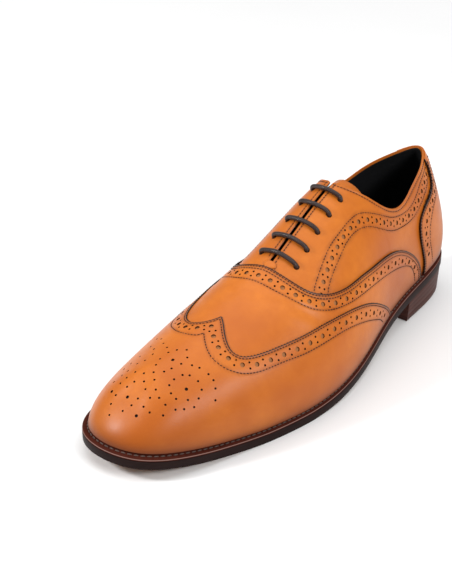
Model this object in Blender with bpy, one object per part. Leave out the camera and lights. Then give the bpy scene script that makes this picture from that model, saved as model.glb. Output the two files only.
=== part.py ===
"""Left full-brogue oxford shoe, made piece by piece on one last.

Metres, +Z up, floor at z = 0. The toe points to -Y and the outside of the foot to +X.
The tables below are in millimetres: x to the outside, s from the heel to the toe, z up.
"""

import math

import bmesh
import bpy
import numpy as np

MM = 0.001
CENTRE_X = 2.95
CENTRE_S = 153.0

# Sections of the last, from the toe tip round to the back of the heel.
# ridge: crest of the section. outside and inside: where it meets the sole.
# rise, flare: pull of the wall at the sole. out, drop: pull at the crest. margin: sole beyond the upper.
LAST = (
    # section      ridge x, s, z      outside x, s   inside x, s   rise flare out drop margin
    ("tip",        -5.0, 271, 42.0,   -6.0, 299.0,   -6.0, 299.0,   9, 2.0, 16,  0, 5.5),
    ("toe corner", -4.2, 268, 44.0,   10.5, 294.5,  -22.0, 294.5,  10, 2.0, 17,  0, 5.5),
    ("toe side",   -1.5, 258, 47.5,   24.0, 276.0,  -35.0, 277.0,  11, 4.0, 21,  0, 5.5),
    ("forepart",    2.0, 238, 52.5,   35.0, 244.0,  -41.0, 246.0,  17, 7.0, 26,  0, 5.0),
    ("ball",        2.6, 205, 61.5,   45.0, 205.0,  -41.5, 210.0,  23, 9.5, 29,  0, 4.5),
    ("vamp",        2.5, 169, 78.0,   48.5, 168.0,  -36.0, 172.0,  33, 9.5, 24,  0, 4.0),
    ("waist",       2.5, 135, 96.5,   43.0, 130.0,  -30.0, 132.0,  42, 8.5, 21,  0, 3.8),
    ("rear",        1.5, 104, 108.0,  34.5,  95.0,  -27.5,  96.0,  43, 7.0, 25,  7, 3.6),
    ("heel front",  0.5,  75, 113.5,  29.5,  62.0,  -28.0,  62.0,  38, 6.0, 23, 15, 3.4),
    ("heel side",   0.0,  48, 114.5,  25.8,  30.0,  -25.8,  30.0,  31, 6.0, 19, 18, 3.0),
    ("heel corner", 0.0,  32, 114.5,  16.8,  10.5,  -16.8,  10.5,  28, 5.5, 14, 19, 2.8),
    ("heel back",   0.0,  25, 114.0,   0.0,   4.5,    0.0,   4.5,  28, 5.5, 14, 19, 2.8),
)
# Underside of the outsole: heel seat, arch, flat tread, toe spring (s, z).
SOLE_LINE = (
    (-5, 20.5), (30, 18.3), (66, 14.8), (100, 10.6), (135, 5.2),
    (170, 1.2), (193, 0.0), (225, 0.0), (255, 2.4), (310, 9.8),
)
# Top line of the collar (s, z). In front of COLLAR_FRONT the throat takes over.
COLLAR_LINE = (
    (8, 96.0), (30, 90.0), (50, 85.5), (66, 81.0), (80, 82.5), (92, 89.5), (104, 99.5), (113, 105.5),
)
COLLAR_FRONT = 118.0

OUTSOLE = 5.0
# The welt slopes from its full height at the upper to a thin outer edge.
WELT = 3.0
WELT_EDGE = 1.2
WELT_GAP = 0.45
GAP = 0.3
WALL = 2.0
OVERLAY_GAP = 0.45
EDGE_GAP = 0.4
EDGE_LEAN = 1.4
VAMP_THICK = 1.0
CAP_THICK = 1.6
COUNTER_THICK = 1.2
COUNTER_DROP = 0.012
INSOLE = 3.0
INSOLE_INSET = 2.6
HEEL_BREAST = 65.5
HEEL_INSET_TOP = 0.4
HEEL_INSET_FOOT = 1.4

# Throat: the two facings meet over the tongue, with a slit between them.
SLIT_FOOT = 144.5
THROAT_END = 240.0
SLIT_HALF = 1.0
EYELET_RADIUS = 2.4
EYELET_SIDES = 12
LACE_RADIUS = 1.3
LACE_OVER = 1.95
LACE_UNDER = -4.3
# How far, in h, a hidden run of the lace keeps to its own lane beside the eyelets.
LACE_LANE = 0.045
TONGUE_OUTER = -6.6
TONGUE_THICK = 2.0
TONGUE_FOOT, TONGUE_TOP = 132.0, 228.0
# Sides of the tongue (t, h), and how far below the ridge the middle of its round lies.
TONGUE_EDGE = ((132, 0.80), (150, 0.70), (200, 0.63), (228, 0.66))
TONGUE_HUB = 32.0
# Eyelet pairs, from the foot of the throat: t, then h on the outside and on the inside.
EYELETS = ((151, 0.805, 0.86), (163, 0.81, 0.858), (176, 0.818, 0.861), (190, 0.828, 0.866), (204, 0.843, 0.862))

# Pattern edges. t runs round the last from the toe tip in mm, h runs from the sole (0) to the ridge (1).
WING_PEAK = 100.0
WING_EDGE = (
    (100, 1.0), (95.4, 0.944), (91, 0.893), (87, 0.826), (85.5, 0.757), (87.4, 0.703), (91.4, 0.666),
    (98, 0.633), (113, 0.578), (127, 0.525), (143, 0.467), (160, 0.40), (175, 0.338), (192, 0.256),
    (206, 0.172), (219, 0.083), (226, 0.02),
)
WING_EDGE_INSIDE = (
    (100, 1.0), (95, 0.962), (91.5, 0.905), (90.8, 0.86), (92.8, 0.805), (97.5, 0.747), (104, 0.70),
    (113, 0.655), (127, 0.60), (143, 0.53), (160, 0.45), (175, 0.375), (192, 0.28), (206, 0.187),
    (219, 0.09), (226, 0.02),
)
# Foot of the wing cap's grid lines, as a share of the edge from the peak, and t.
WING_FOOT = (
    (0, 36), (0.05, 42), (0.09, 54), (0.125, 68), (0.155, 78), (0.18, 87), (0.225, 98), (0.3, 113), (1, 225),
)
VAMP_CENTRE = 141.0
VAMP_EDGE = (
    (141, 1.0), (141, 0.90), (142.5, 0.77), (146, 0.666), (153, 0.574), (163, 0.504), (177, 0.45),
    (188, 0.425), (199, 0.402), (212, 0.382), (226, 0.358), (239, 0.318), (250, 0.262), (259, 0.195),
    (266, 0.105), (269, 0.02),
)
COUNTER_EDGE = (
    (272.5, 0.0), (271.5, 0.09), (267.5, 0.20), (265.2, 0.30), (266.5, 0.37), (272, 0.426), (280, 0.463),
    (289, 0.491), (297, 0.523), (302, 0.563), (305, 0.62), (307, 0.70),
)

# Usual length of a section from sole to ridge, to weigh h against t.
SECTION_LENGTH = 65.0
# From RIDGE_NEAR upwards the normal is read just below the ridge, and on the ridge both sides share one.
RIDGE_NEAR, ON_RIDGE = 0.985, 0.9995

# Columns of the upper, in mm round the last.
COLUMNS = (
    0, 5, 10, 15, 20, 25, 31, 38, 46, 55, 64, 74, 84, 94, 104, 114, 124, 134, SLIT_FOOT, 150, 158, 167,
    176, 186, 196, 205, 210, 212.5, 215, 218, 222, 227, 233, 240, 248, 256, 265, 274, 282, 290, 297, 303,
    309, 314, 319, 324,
)
UPPER_ROWS = 9
LEATHER_ROWS = 8
CREST_COLUMNS = 11
WING_COLUMNS = 20
VAMP_FRONT_COLUMNS = 7
VAMP_COLUMNS = 28
COUNTER_COLUMNS, COUNTER_ROWS = 10, 11
TONGUE_COLUMNS, TONGUE_ROWS = 14, 6
OUTSOLE_ROWS = 5
INSOLE_ROWS = 4
HEEL_COLUMNS, HEEL_ROWS = 17, 5

LEATHER_TAN = (0.46, 0.17, 0.04)
LEATHER_DARK = (0.06, 0.03, 0.02)
SOLE_BROWN = (0.04, 0.025, 0.02)
LACE_BROWN = (0.03, 0.022, 0.02)
INSOLE_BLACK = (0.012, 0.012, 0.012)


def spline(knots, values, period=None):
    """Cubic spline with smooth curvature through the knots. With a period it closes on itself."""
    x = np.asarray(knots, float)
    y = np.asarray(values, float)
    count = len(x)
    if period:
        x = np.append(x, x[0] + period)
        y = np.concatenate([y, y[:1]])
    step = np.diff(x)
    shape = (-1,) + (1,) * (y.ndim - 1)
    rise = np.diff(y, axis=0) / step.reshape(shape)
    system = np.zeros((len(x), len(x)))
    right = np.zeros(y.shape)
    for i in range(1, len(x) - 1):
        system[i, i - 1 : i + 2] = step[i - 1], 2 * (step[i - 1] + step[i]), step[i]
        right[i] = 6 * (rise[i] - rise[i - 1])
    if period:
        system[0, [0, 1]] = 2 * (step[-1] + step[0]), step[0]
        system[0, count - 1] += step[-1]
        right[0] = 6 * (rise[0] - rise[-1])
        system[-1, [0, -1]] = 1, -1
    else:
        system[0, 0] = system[-1, -1] = 1
    bend = np.linalg.solve(system, right)

    def value(at):
        at = np.asarray(at, float)
        if period:
            at = (at - x[0]) % period + x[0]
        i = np.clip(np.searchsorted(x, at, side="right") - 1, 0, len(step) - 1)
        width = step[i].reshape(at.shape + (1,) * (y.ndim - 1))
        into = (at - x[i]).reshape(width.shape)
        slope = rise[i] - width * (2 * bend[i] + bend[i + 1]) / 6
        return y[i] + into * (slope + into * (bend[i] / 2 + into * (bend[i + 1] - bend[i]) / (6 * width)))

    return value


def along(points, count, lean=1.0, aside=0.0):
    """Points on a smooth curve through pattern points (t, h). A lean over 1 sets them closer at the start.

    The curve can be moved aside by a distance in mm, away from the toe and the sole.
    """
    flat = np.asarray(points, float) * (1, SECTION_LENGTH)
    knots = np.append(0, np.cumsum(np.linalg.norm(np.diff(flat, axis=0), axis=1)))
    curve = spline(knots, flat)
    at = np.linspace(0, 1, count) ** lean * knots[-1]
    run = curve(at + 0.2) - curve(at - 0.2)
    run /= np.linalg.norm(run, axis=1, keepdims=True)
    return (curve(at) + aside * np.column_stack([-run[:, 1], run[:, 0]])) / (1, SECTION_LENGTH)


ROWS = np.array([row[1:] for row in LAST], float)
RIDGE, OUTSIDE, INSIDE, PULLS = ROWS[:, 0:3], ROWS[:, 3:5], ROWS[:, 5:7], ROWS[:, 7:12]
CHORDS = 0.5 * (
    np.linalg.norm(np.diff(OUTSIDE, axis=0), axis=1) + np.linalg.norm(np.diff(INSIDE, axis=0), axis=1)
)
STATIONS = np.append(0, np.cumsum(CHORDS))
BACK = STATIONS[-1]
LOOP = spline(
    np.concatenate([STATIONS, (2 * BACK - STATIONS[::-1])[1:-1]]),
    np.concatenate(
        [np.hstack([OUTSIDE, RIDGE, PULLS]), np.hstack([INSIDE, RIDGE, PULLS])[::-1][1:-1]]
    ),
    period=2 * BACK,
)
RIDGE_HEIGHT = spline(RIDGE[::-1, 1], RIDGE[::-1, 2])
SOLE_HEIGHT = spline(*zip(*SOLE_LINE))
COLLAR_HEIGHT = spline(*zip(*COLLAR_LINE))


def tread(s):
    """Height of the outsole's underside. The forepart is flat where it stands on the floor."""
    return np.maximum(SOLE_HEIGHT(s), 0.0)


def last(t, h):
    """Point of the last's surface, as a cubic curve from the sole edge up to the ridge."""
    t, h = np.broadcast_arrays(np.asarray(t, float), np.asarray(h, float))
    row = LOOP(t)
    foot_s, ridge_s = row[..., 1], row[..., 3]
    foot = np.stack([row[..., 0], foot_s, tread(foot_s) + OUTSOLE + GAP], -1)
    ridge = np.stack([row[..., 2], ridge_s, RIDGE_HEIGHT(ridge_s)], -1)
    level = (foot - ridge) * (1, 1, 0)
    level /= np.maximum(np.linalg.norm(level, axis=-1, keepdims=True), 1e-6)
    rise, flare, out, drop = (row[..., k, None] for k in (5, 6, 7, 8))
    climb = RIDGE_HEIGHT(ridge_s + 0.5) - RIDGE_HEIGHT(ridge_s - 0.5)
    crest = level + (0, 0, 1) * (level[..., 1:2] * climb[..., None] * np.exp(-drop / 6))
    low = foot + rise * (0, 0, 1) + flare * level
    high = ridge + out * crest - drop * (0, 0, 1)
    h = h[..., None]
    g = 1 - h
    return g**3 * foot + 3 * g * g * h * low + 3 * g * h * h * high + h**3 * ridge


def outward(t, h):
    """Unit normal of the last. On the ridge it is the mean of the two sides."""
    t, h = np.broadcast_arrays(np.asarray(t, float), np.asarray(h, float))
    near = np.minimum(h, RIDGE_NEAR)

    def one_side(at):
        around = last(at + 0.2, near) - last(at - 0.2, near)
        up = last(at, near + 0.004) - last(at, near - 0.004)
        normal = np.cross(up, around)
        return normal / np.linalg.norm(normal, axis=-1, keepdims=True)

    normal = one_side(t)
    both = normal + one_side(-t)
    both /= np.linalg.norm(both, axis=-1, keepdims=True)
    return np.where(h[..., None] > ON_RIDGE, both, normal)


def skin(t, h, offset):
    """Point at a distance out from the last."""
    return last(t, h) + np.asarray(offset, float)[..., None] * outward(t, h)


def climb_to(t, above, offset=0.0):
    """Lowest h on each section where above(point at the offset) is true, or 1."""
    t = np.asarray(t, float)
    grid = np.linspace(0, 1, 201)
    hit = above(skin(t[:, None], grid[None], offset))
    first = np.where(hit.any(axis=1), hit.argmax(axis=1), 200)
    high = grid[first]
    low = grid[np.maximum(first - 1, 0)]
    for _ in range(20):
        middle = (low + high) / 2
        over = above(skin(t, middle, offset))
        high = np.where(over, middle, high)
        low = np.where(over, low, middle)
    return high


def over_collar(point):
    return (point[..., 2] > COLLAR_HEIGHT(point[..., 1])) & (point[..., 1] < COLLAR_FRONT)


def over_welt(point):
    return point[..., 2] > tread(point[..., 1]) + OUTSOLE + WELT + OVERLAY_GAP


def upper_top(t):
    """Upper edge of the upper: the ridge in front, then the slit, then the collar."""
    t = np.asarray(t, float)
    middle = LOOP(t)[:, 2]

    def over_slit(point):
        centre = middle[:, None] if point.ndim == 3 else middle
        return np.abs(point[..., 0] - centre) < SLIT_HALF

    in_throat = (t > SLIT_FOOT + 0.01) & (t < THROAT_END)
    slit = np.where(in_throat, climb_to(t, over_slit), 1.0)
    return np.minimum(slit, climb_to(t, over_collar))


def foot_edge(t, extra):
    """Plan outline at a distance from the upper's foot (x, s)."""
    t = np.asarray(t, float)
    run = LOOP(t + 0.5)[..., :2] - LOOP(t - 0.5)[..., :2]
    run /= np.linalg.norm(run, axis=-1, keepdims=True)
    out = np.stack([-run[..., 1], run[..., 0]], -1)
    return LOOP(t)[..., :2] + out * np.asarray(extra, float)[..., None]


def sole_edge(t, extra=0.0):
    """Plan outline of the sole: the upper's foot moved out by the sole margin."""
    return foot_edge(t, LOOP(t)[..., 9] + extra)


def place(points):
    """Last millimetres to metres in the shoe's frame."""
    points = np.asarray(points, float)
    return np.stack([points[..., 0] - CENTRE_X, CENTRE_S - points[..., 1], points[..., 2]], -1) * MM


def material(name, colour, roughness):
    paint = bpy.data.materials.new(name)
    paint.use_nodes = True
    shader = paint.node_tree.nodes["Principled BSDF"]
    shader.inputs["Base Color"].default_value = (*colour, 1.0)
    shader.inputs["Roughness"].default_value = roughness
    return paint


def closed_piece(name, front, back, faces, colour, roughness=0.5):
    """Solid between two matching point sets. Points that meet are welded and open edges get walls."""
    keys = {}
    index = []
    kept = []
    for number, point in enumerate(np.round(front, 3)):
        key = tuple(point)
        if key not in keys:
            keys[key] = len(kept)
            kept.append(number)
        index.append(keys[key])
    count = len(kept)
    sheet = []
    for face in faces:
        corners = []
        for corner in face:
            welded = index[corner]
            if welded not in corners:
                corners.append(welded)
        if len(corners) > 2:
            sheet.append(corners)
    used = {}
    for corners in sheet:
        for a, b in zip(corners, corners[1:] + corners[:1]):
            used[(a, b)] = used.get((a, b), 0) + 1
    walls = [(b, a, a + count, b + count) for a, b in used if (b, a) not in used]
    under = [[corner + count for corner in reversed(corners)] for corners in sheet]
    mesh = bpy.data.meshes.new(name)
    points = np.concatenate([place(front[kept]), place(back[kept])])
    mesh.from_pydata([tuple(point) for point in points], [], sheet + under + walls)
    body = bmesh.new()
    body.from_mesh(mesh)
    bmesh.ops.recalc_face_normals(body, faces=body.faces)
    body.to_mesh(mesh)
    body.free()
    mesh.materials.append(material(name, colour, roughness))
    piece = bpy.data.objects.new(name, mesh)
    bpy.context.collection.objects.link(piece)
    return piece


def grid_faces(columns, rows, start=0, flip=False):
    """Quads of a grid whose points run row by row inside each column."""
    faces = []
    for i in range(columns - 1):
        for j in range(rows - 1):
            a = start + i * rows + j
            face = (a, a + rows, a + rows + 1, a + 1)
            faces.append(face[::-1] if flip else face)
    return faces


def leather(name, halves, inner, outer, colour, at=skin):
    """Piece of leather from the pattern grids (t, h) of its outside and inside half, at two offsets."""
    (outside_t, outside_h), (inside_t, inside_h) = halves
    columns, rows = outside_t.shape
    t = np.concatenate([outside_t.ravel(), -inside_t.ravel()])
    h = np.concatenate([outside_h.ravel(), inside_h.ravel()])
    faces = grid_faces(columns, rows) + grid_faces(columns, rows, columns * rows, True)
    return closed_piece(name, at(t, h, outer), at(t, h, inner), faces, colour, 0.4)


def between(low, high, rows):
    """Pattern grid between two edges with matching points (t, h)."""
    share = np.linspace(0, 1, rows)[None, :, None]
    grid = low[:, None] * (1 - share) + high[:, None] * share
    return grid[..., 0], grid[..., 1]


def slab(name, outer_edge, inner_edge, low, high, rows, colour):
    """Sheet that fills an outline. The edges give the outside and inside half (x, s), low and high give z."""
    share = np.linspace(0, 1, rows)[None, :, None]
    plan = (outer_edge[:, None] * (1 - share) + inner_edge[:, None] * share).reshape(-1, 2)
    top = np.column_stack([plan, high(plan[:, 1])])
    bottom = np.column_stack([plan, low(plan[:, 1])])
    return closed_piece(name, top, bottom, grid_faces(len(outer_edge), rows), colour, 0.6)


def eyelet(number, side):
    """Pattern point of an eyelet. The side is 1 for the outside of the foot and -1 for the inside."""
    t, outside, inside = EYELETS[number]
    return (t, outside) if side > 0 else (-t, inside)


def eyelet_cutter():
    """Round bars through all the eyelets."""
    body = bmesh.new()
    for number in range(len(EYELETS)):
        for side in (1, -1):
            t, h = eyelet(number, side)
            axis = outward(t, h)
            first = np.cross(axis, (0, 1, 0))
            first /= np.linalg.norm(first)
            second = np.cross(axis, first)
            rings = []
            for depth in (-3 * WALL, 2 * WALL):
                ring = []
                for k in range(EYELET_SIDES):
                    turn = math.tau * k / EYELET_SIDES
                    around = first * math.cos(turn) + second * math.sin(turn)
                    point = place(skin(t, h, depth) + around * EYELET_RADIUS)
                    ring.append(body.verts.new(tuple(point)))
                rings.append(ring)
                body.faces.new(ring)
            for k in range(EYELET_SIDES):
                m = (k + 1) % EYELET_SIDES
                body.faces.new((rings[0][k], rings[0][m], rings[1][m], rings[1][k]))
    bmesh.ops.recalc_face_normals(body, faces=body.faces)
    mesh = bpy.data.meshes.new("eyelet_cutter")
    body.to_mesh(mesh)
    body.free()
    cutter = bpy.data.objects.new("eyelet_cutter", mesh)
    bpy.context.collection.objects.link(cutter)
    return cutter


def make_upper(columns):
    share = np.linspace(0, 1, UPPER_ROWS)
    t = np.repeat(columns[:, None], UPPER_ROWS, axis=1)
    h = upper_top(columns)[:, None] * share[None]
    upper = leather("upper", [(t, h), (t, h)], -WALL, 0.0, LEATHER_TAN)
    cutter = eyelet_cutter()
    cut = upper.modifiers.new("eyelets", "BOOLEAN")
    cut.object = cutter
    cut.operation = "DIFFERENCE"
    cut.solver = "EXACT"
    bpy.context.view_layer.objects.active = upper
    bpy.ops.object.modifier_apply(modifier="eyelets")
    bpy.data.objects.remove(cutter)


def on_welt(line, side, outer):
    """Keeps a pattern line of a piece with this outer offset above the welt."""
    foot = climb_to(side * line[:, 0], over_welt, outer)
    return np.column_stack([line[:, 0], np.maximum(line[:, 1], foot)])


def make_wing_cap():
    outer = OVERLAY_GAP + CAP_THICK
    crest = np.linspace(0, WING_PEAK, CREST_COLUMNS, endpoint=False)
    share = np.linspace(0, 1, WING_COLUMNS) ** EDGE_LEAN
    base = np.interp(share, *zip(*WING_FOOT))
    base = np.concatenate([crest * base[0] / WING_PEAK, base])
    halves = []
    for side, pattern in ((1, WING_EDGE), (-1, WING_EDGE_INSIDE)):
        edge = along(pattern, WING_COLUMNS, EDGE_LEAN)
        edge[0] = WING_PEAK, 1.0
        high = np.concatenate([np.column_stack([crest, np.ones(len(crest))]), edge])
        low = np.column_stack([base, np.zeros(len(base))])
        halves.append(between(on_welt(low, side, outer), on_welt(high, side, outer), LEATHER_ROWS))
    leather("wing_cap", halves, OVERLAY_GAP, outer, LEATHER_TAN)


def make_vamp():
    outer = OVERLAY_GAP + VAMP_THICK
    front_end = WING_PEAK + 2 * EDGE_GAP
    front = np.linspace(front_end, VAMP_CENTRE, VAMP_FRONT_COLUMNS, endpoint=False)
    edge = along(VAMP_EDGE, VAMP_COLUMNS - len(front), EDGE_LEAN)
    edge[0] = VAMP_CENTRE, 1.0
    high = np.concatenate([np.column_stack([front, np.ones(len(front))]), edge])
    halves = []
    for side, pattern in ((1, WING_EDGE), (-1, WING_EDGE_INSIDE)):
        wing = along(pattern, WING_COLUMNS, EDGE_LEAN, EDGE_GAP)
        wing[0] = front_end, 1.0
        tail = np.linspace(wing[-1, 0] + 4, VAMP_EDGE[-1][0], VAMP_COLUMNS - len(wing))
        low = np.concatenate([wing, np.column_stack([tail, np.zeros(len(tail))])])
        halves.append(between(on_welt(low, side, outer), on_welt(high, side, outer), LEATHER_ROWS))
    leather("vamp", halves, OVERLAY_GAP, outer, LEATHER_TAN)


def make_counter():
    outer = OVERLAY_GAP + COUNTER_THICK
    edge = along(COUNTER_EDGE, COUNTER_ROWS)
    level = np.clip(edge[:, 1] / edge[-1, 1], 0, 1)
    share = np.linspace(0, 1, COUNTER_COLUMNS)[:, None]
    t = edge[None, :, 0] * (1 - share) + BACK * share
    low = np.array([climb_to(column, over_welt, outer) for column in t])
    high = np.array([climb_to(column, over_collar) for column in t]) - COUNTER_DROP
    h = low + (high - low) * level[None]
    leather("heel_counter", [(t, h), (t, h)], OVERLAY_GAP, outer, LEATHER_TAN)


def sunk(t, h, offset):
    """Point inside the last, on the round of the tongue: drawn towards a middle below the ridge."""
    point = last(t, h)
    hub = last(t, np.ones(np.shape(t))) - (0, 0, TONGUE_HUB)
    out = (point - hub) * (1, 0, 1)
    return point + offset * out / np.linalg.norm(out, axis=-1, keepdims=True)


def make_tongue():
    columns = np.linspace(TONGUE_FOOT, TONGUE_TOP, TONGUE_COLUMNS)
    edge = np.interp(columns, *zip(*TONGUE_EDGE))[:, None]
    share = np.linspace(0, 1, TONGUE_ROWS)[None]
    t = np.repeat(columns[:, None], TONGUE_ROWS, axis=1)
    h = edge + (1 - edge) * share
    leather("tongue", [(t, h), (t, h)], TONGUE_OUTER - TONGUE_THICK, TONGUE_OUTER, LEATHER_TAN, sunk)


def make_welt(columns):
    around = np.concatenate([columns, 2 * BACK - columns[::-1][1:-1]])
    low_h = np.zeros(len(around))
    top_h = climb_to(around, lambda p: p[..., 2] > tread(p[..., 1]) + OUTSOLE + WELT)
    inner_low = skin(around, low_h, WELT_GAP)
    inner_top = skin(around, top_h, WELT_GAP)
    outer = sole_edge(around)
    base = tread(outer[:, 1]) + OUTSOLE
    inner_low[:, 2] = tread(inner_low[:, 1]) + OUTSOLE + GAP
    inner_top[:, 2] = tread(inner_top[:, 1]) + OUTSOLE + WELT
    ring = np.stack(
        [
            inner_low,
            np.column_stack([outer, base + GAP]),
            np.column_stack([outer, base + WELT_EDGE]),
            inner_top,
        ],
        axis=1,
    )
    count = len(around)
    faces = []
    for i in range(count):
        n = (i + 1) % count
        for j in range(4):
            k = (j + 1) % 4
            faces.append((i * 4 + j, n * 4 + j, n * 4 + k, i * 4 + k))
    mesh = bpy.data.meshes.new("welt")
    mesh.from_pydata([tuple(point) for point in place(ring.reshape(-1, 3))], [], faces)
    body = bmesh.new()
    body.from_mesh(mesh)
    bmesh.ops.recalc_face_normals(body, faces=body.faces)
    body.to_mesh(mesh)
    body.free()
    mesh.materials.append(material("welt", LEATHER_DARK, 0.5))
    bpy.context.collection.objects.link(bpy.data.objects.new("welt", mesh))


def make_sole(columns):
    slab(
        "outsole",
        sole_edge(columns),
        sole_edge(-columns),
        tread,
        lambda s: tread(s) + OUTSOLE,
        OUTSOLE_ROWS,
        SOLE_BROWN,
    )
    slab(
        "insole",
        foot_edge(columns, -INSOLE_INSET),
        foot_edge(-columns, -INSOLE_INSET),
        lambda s: tread(s) + OUTSOLE + GAP,
        lambda s: tread(s) + OUTSOLE + GAP + INSOLE,
        INSOLE_ROWS,
        INSOLE_BLACK,
    )


def breast_station(side):
    """t where the sole outline crosses the heel breast."""
    stations = np.linspace(0.6 * BACK, 0.95 * BACK, 400)
    reach = sole_edge(side * stations)[:, 1]
    return float(np.interp(-HEEL_BREAST, -reach, stations))


def make_heel():
    rings = []
    for inset in (HEEL_INSET_TOP, HEEL_INSET_FOOT):
        halves = []
        for side in (1, -1):
            stations = np.linspace(breast_station(side), BACK, HEEL_COLUMNS)
            edge = sole_edge(side * stations, -inset)
            edge[0, 1] = HEEL_BREAST
            halves.append(edge)
        rings.append(halves)
    share = np.linspace(0, 1, HEEL_ROWS)[None, :, None]
    plans = [(a[:, None] * (1 - share) + b[:, None] * share).reshape(-1, 2) for a, b in rings]
    top = np.column_stack([plans[0], tread(plans[0][:, 1]) - GAP])
    foot = np.column_stack([plans[1], np.zeros(len(plans[1]))])
    closed_piece("heel", top, foot, grid_faces(HEEL_COLUMNS, HEEL_ROWS), SOLE_BROWN, 0.6)


def make_lace():
    """One lace in straight bars. Both ends stop under the top eyelets."""
    path = []

    def rise(number, side):
        """From under an eyelet to the ridge: share of the way, and offset."""
        t, h = eyelet(number, side)
        steps = ((0, -2.2), (0, 0.3), (0.05, 1.35), (0.17, LACE_OVER), (0.45, LACE_OVER), (0.8, LACE_OVER))
        return [(t, h + (1 - h) * share, offset) for share, offset in steps]

    def bar(number, side):
        path.extend(rise(number, side))
        path.append((side * EYELETS[number][0], 1.0, LACE_OVER))
        path.extend(reversed(rise(number, -side)))

    def run(side, start, end, lane):
        (t_a, h_a), (t_b, h_b) = eyelet(start, side), eyelet(end, side)
        for share in (0.12, 0.5, 0.88):
            bow = lane * (1 - (2 * share - 1) ** 2)
            path.append((t_a + (t_b - t_a) * share, h_a + (h_b - h_a) * share - bow, LACE_UNDER))

    (t_third, h_third), (t_fourth, h_fourth), (t_top, h_top) = (eyelet(number, 1) for number in (2, 3, 4))
    path.append((t_top - 5, h_top - LACE_LANE, LACE_UNDER))
    path.append((t_fourth, h_fourth - LACE_LANE, LACE_UNDER))
    path.append((t_third + 2, h_third - 0.006, LACE_UNDER))
    bar(2, 1)
    run(-1, 2, 0, LACE_LANE)
    bar(0, -1)
    run(1, 0, 1, 0.0)
    bar(1, 1)
    run(-1, 1, 3, -LACE_LANE)
    bar(3, -1)
    run(1, 3, 4, 0.0)
    bar(4, 1)
    t_end, h_end = eyelet(4, -1)
    path.append((t_end + 1.5, h_end, LACE_UNDER))
    path.append((t_end + 6, h_end, LACE_UNDER))
    path = np.array(path)
    points = place(skin(path[:, 0], path[:, 1], path[:, 2]))
    curve = bpy.data.curves.new("lace", "CURVE")
    curve.dimensions = "3D"
    curve.bevel_depth = LACE_RADIUS * MM
    curve.bevel_resolution = 1
    curve.use_fill_caps = True
    line = curve.splines.new("POLY")
    line.points.add(len(points) - 1)
    for target, point in zip(line.points, points):
        target.co = (*point, 1.0)
    curve.materials.append(material("lace", LACE_BROWN, 0.5))
    bpy.context.collection.objects.link(bpy.data.objects.new("lace", curve))


def main():
    for old in list(bpy.data.objects):
        bpy.data.objects.remove(old)
    columns = np.array(COLUMNS + (BACK,), float)
    make_upper(columns)
    make_wing_cap()
    make_vamp()
    make_counter()
    make_tongue()
    make_welt(columns)
    make_sole(columns)
    make_heel()
    make_lace()


main()
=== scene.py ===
"""Looks of a left full-brogue oxford shoe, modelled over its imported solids.

Pattern sizes are millimetres on the last: x to the outside of the foot, s from heel to toe, z up.
On the last's surface t runs round from the toe tip in mm, the outside of the foot positive,
and h runs from the sole (0) to the ridge (1).
"""

import math
from functools import lru_cache

import bpy
import numpy as np
from bpy.props import FloatProperty, FloatVectorProperty, PointerProperty
from mathutils import Matrix, Vector
from mathutils.kdtree import KDTree


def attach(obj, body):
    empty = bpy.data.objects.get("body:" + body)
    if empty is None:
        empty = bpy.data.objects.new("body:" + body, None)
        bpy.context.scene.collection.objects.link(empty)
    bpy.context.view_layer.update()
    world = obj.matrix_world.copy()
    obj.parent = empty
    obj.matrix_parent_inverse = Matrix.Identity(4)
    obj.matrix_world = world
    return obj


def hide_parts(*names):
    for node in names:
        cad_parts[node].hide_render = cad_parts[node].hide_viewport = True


bl_info = {
    "name": "Full Brogue Oxford",
    "version": (1, 0, 0),
    "blender": (4, 5, 0),
    "location": "View3D > Sidebar > Shoe",
    "description": "Dresses the solids of a left oxford shoe in leather, stitching and lace",
    "category": "Add Mesh",
}

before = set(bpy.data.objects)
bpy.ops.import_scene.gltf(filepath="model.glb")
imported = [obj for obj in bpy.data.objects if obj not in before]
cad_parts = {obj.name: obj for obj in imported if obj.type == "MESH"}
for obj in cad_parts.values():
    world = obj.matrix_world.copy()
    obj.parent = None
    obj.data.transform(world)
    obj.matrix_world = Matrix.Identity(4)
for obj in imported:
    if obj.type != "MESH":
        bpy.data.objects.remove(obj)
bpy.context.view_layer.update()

MM = 0.001
CENTRE_X = 2.95
CENTRE_S = 153.0

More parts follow.
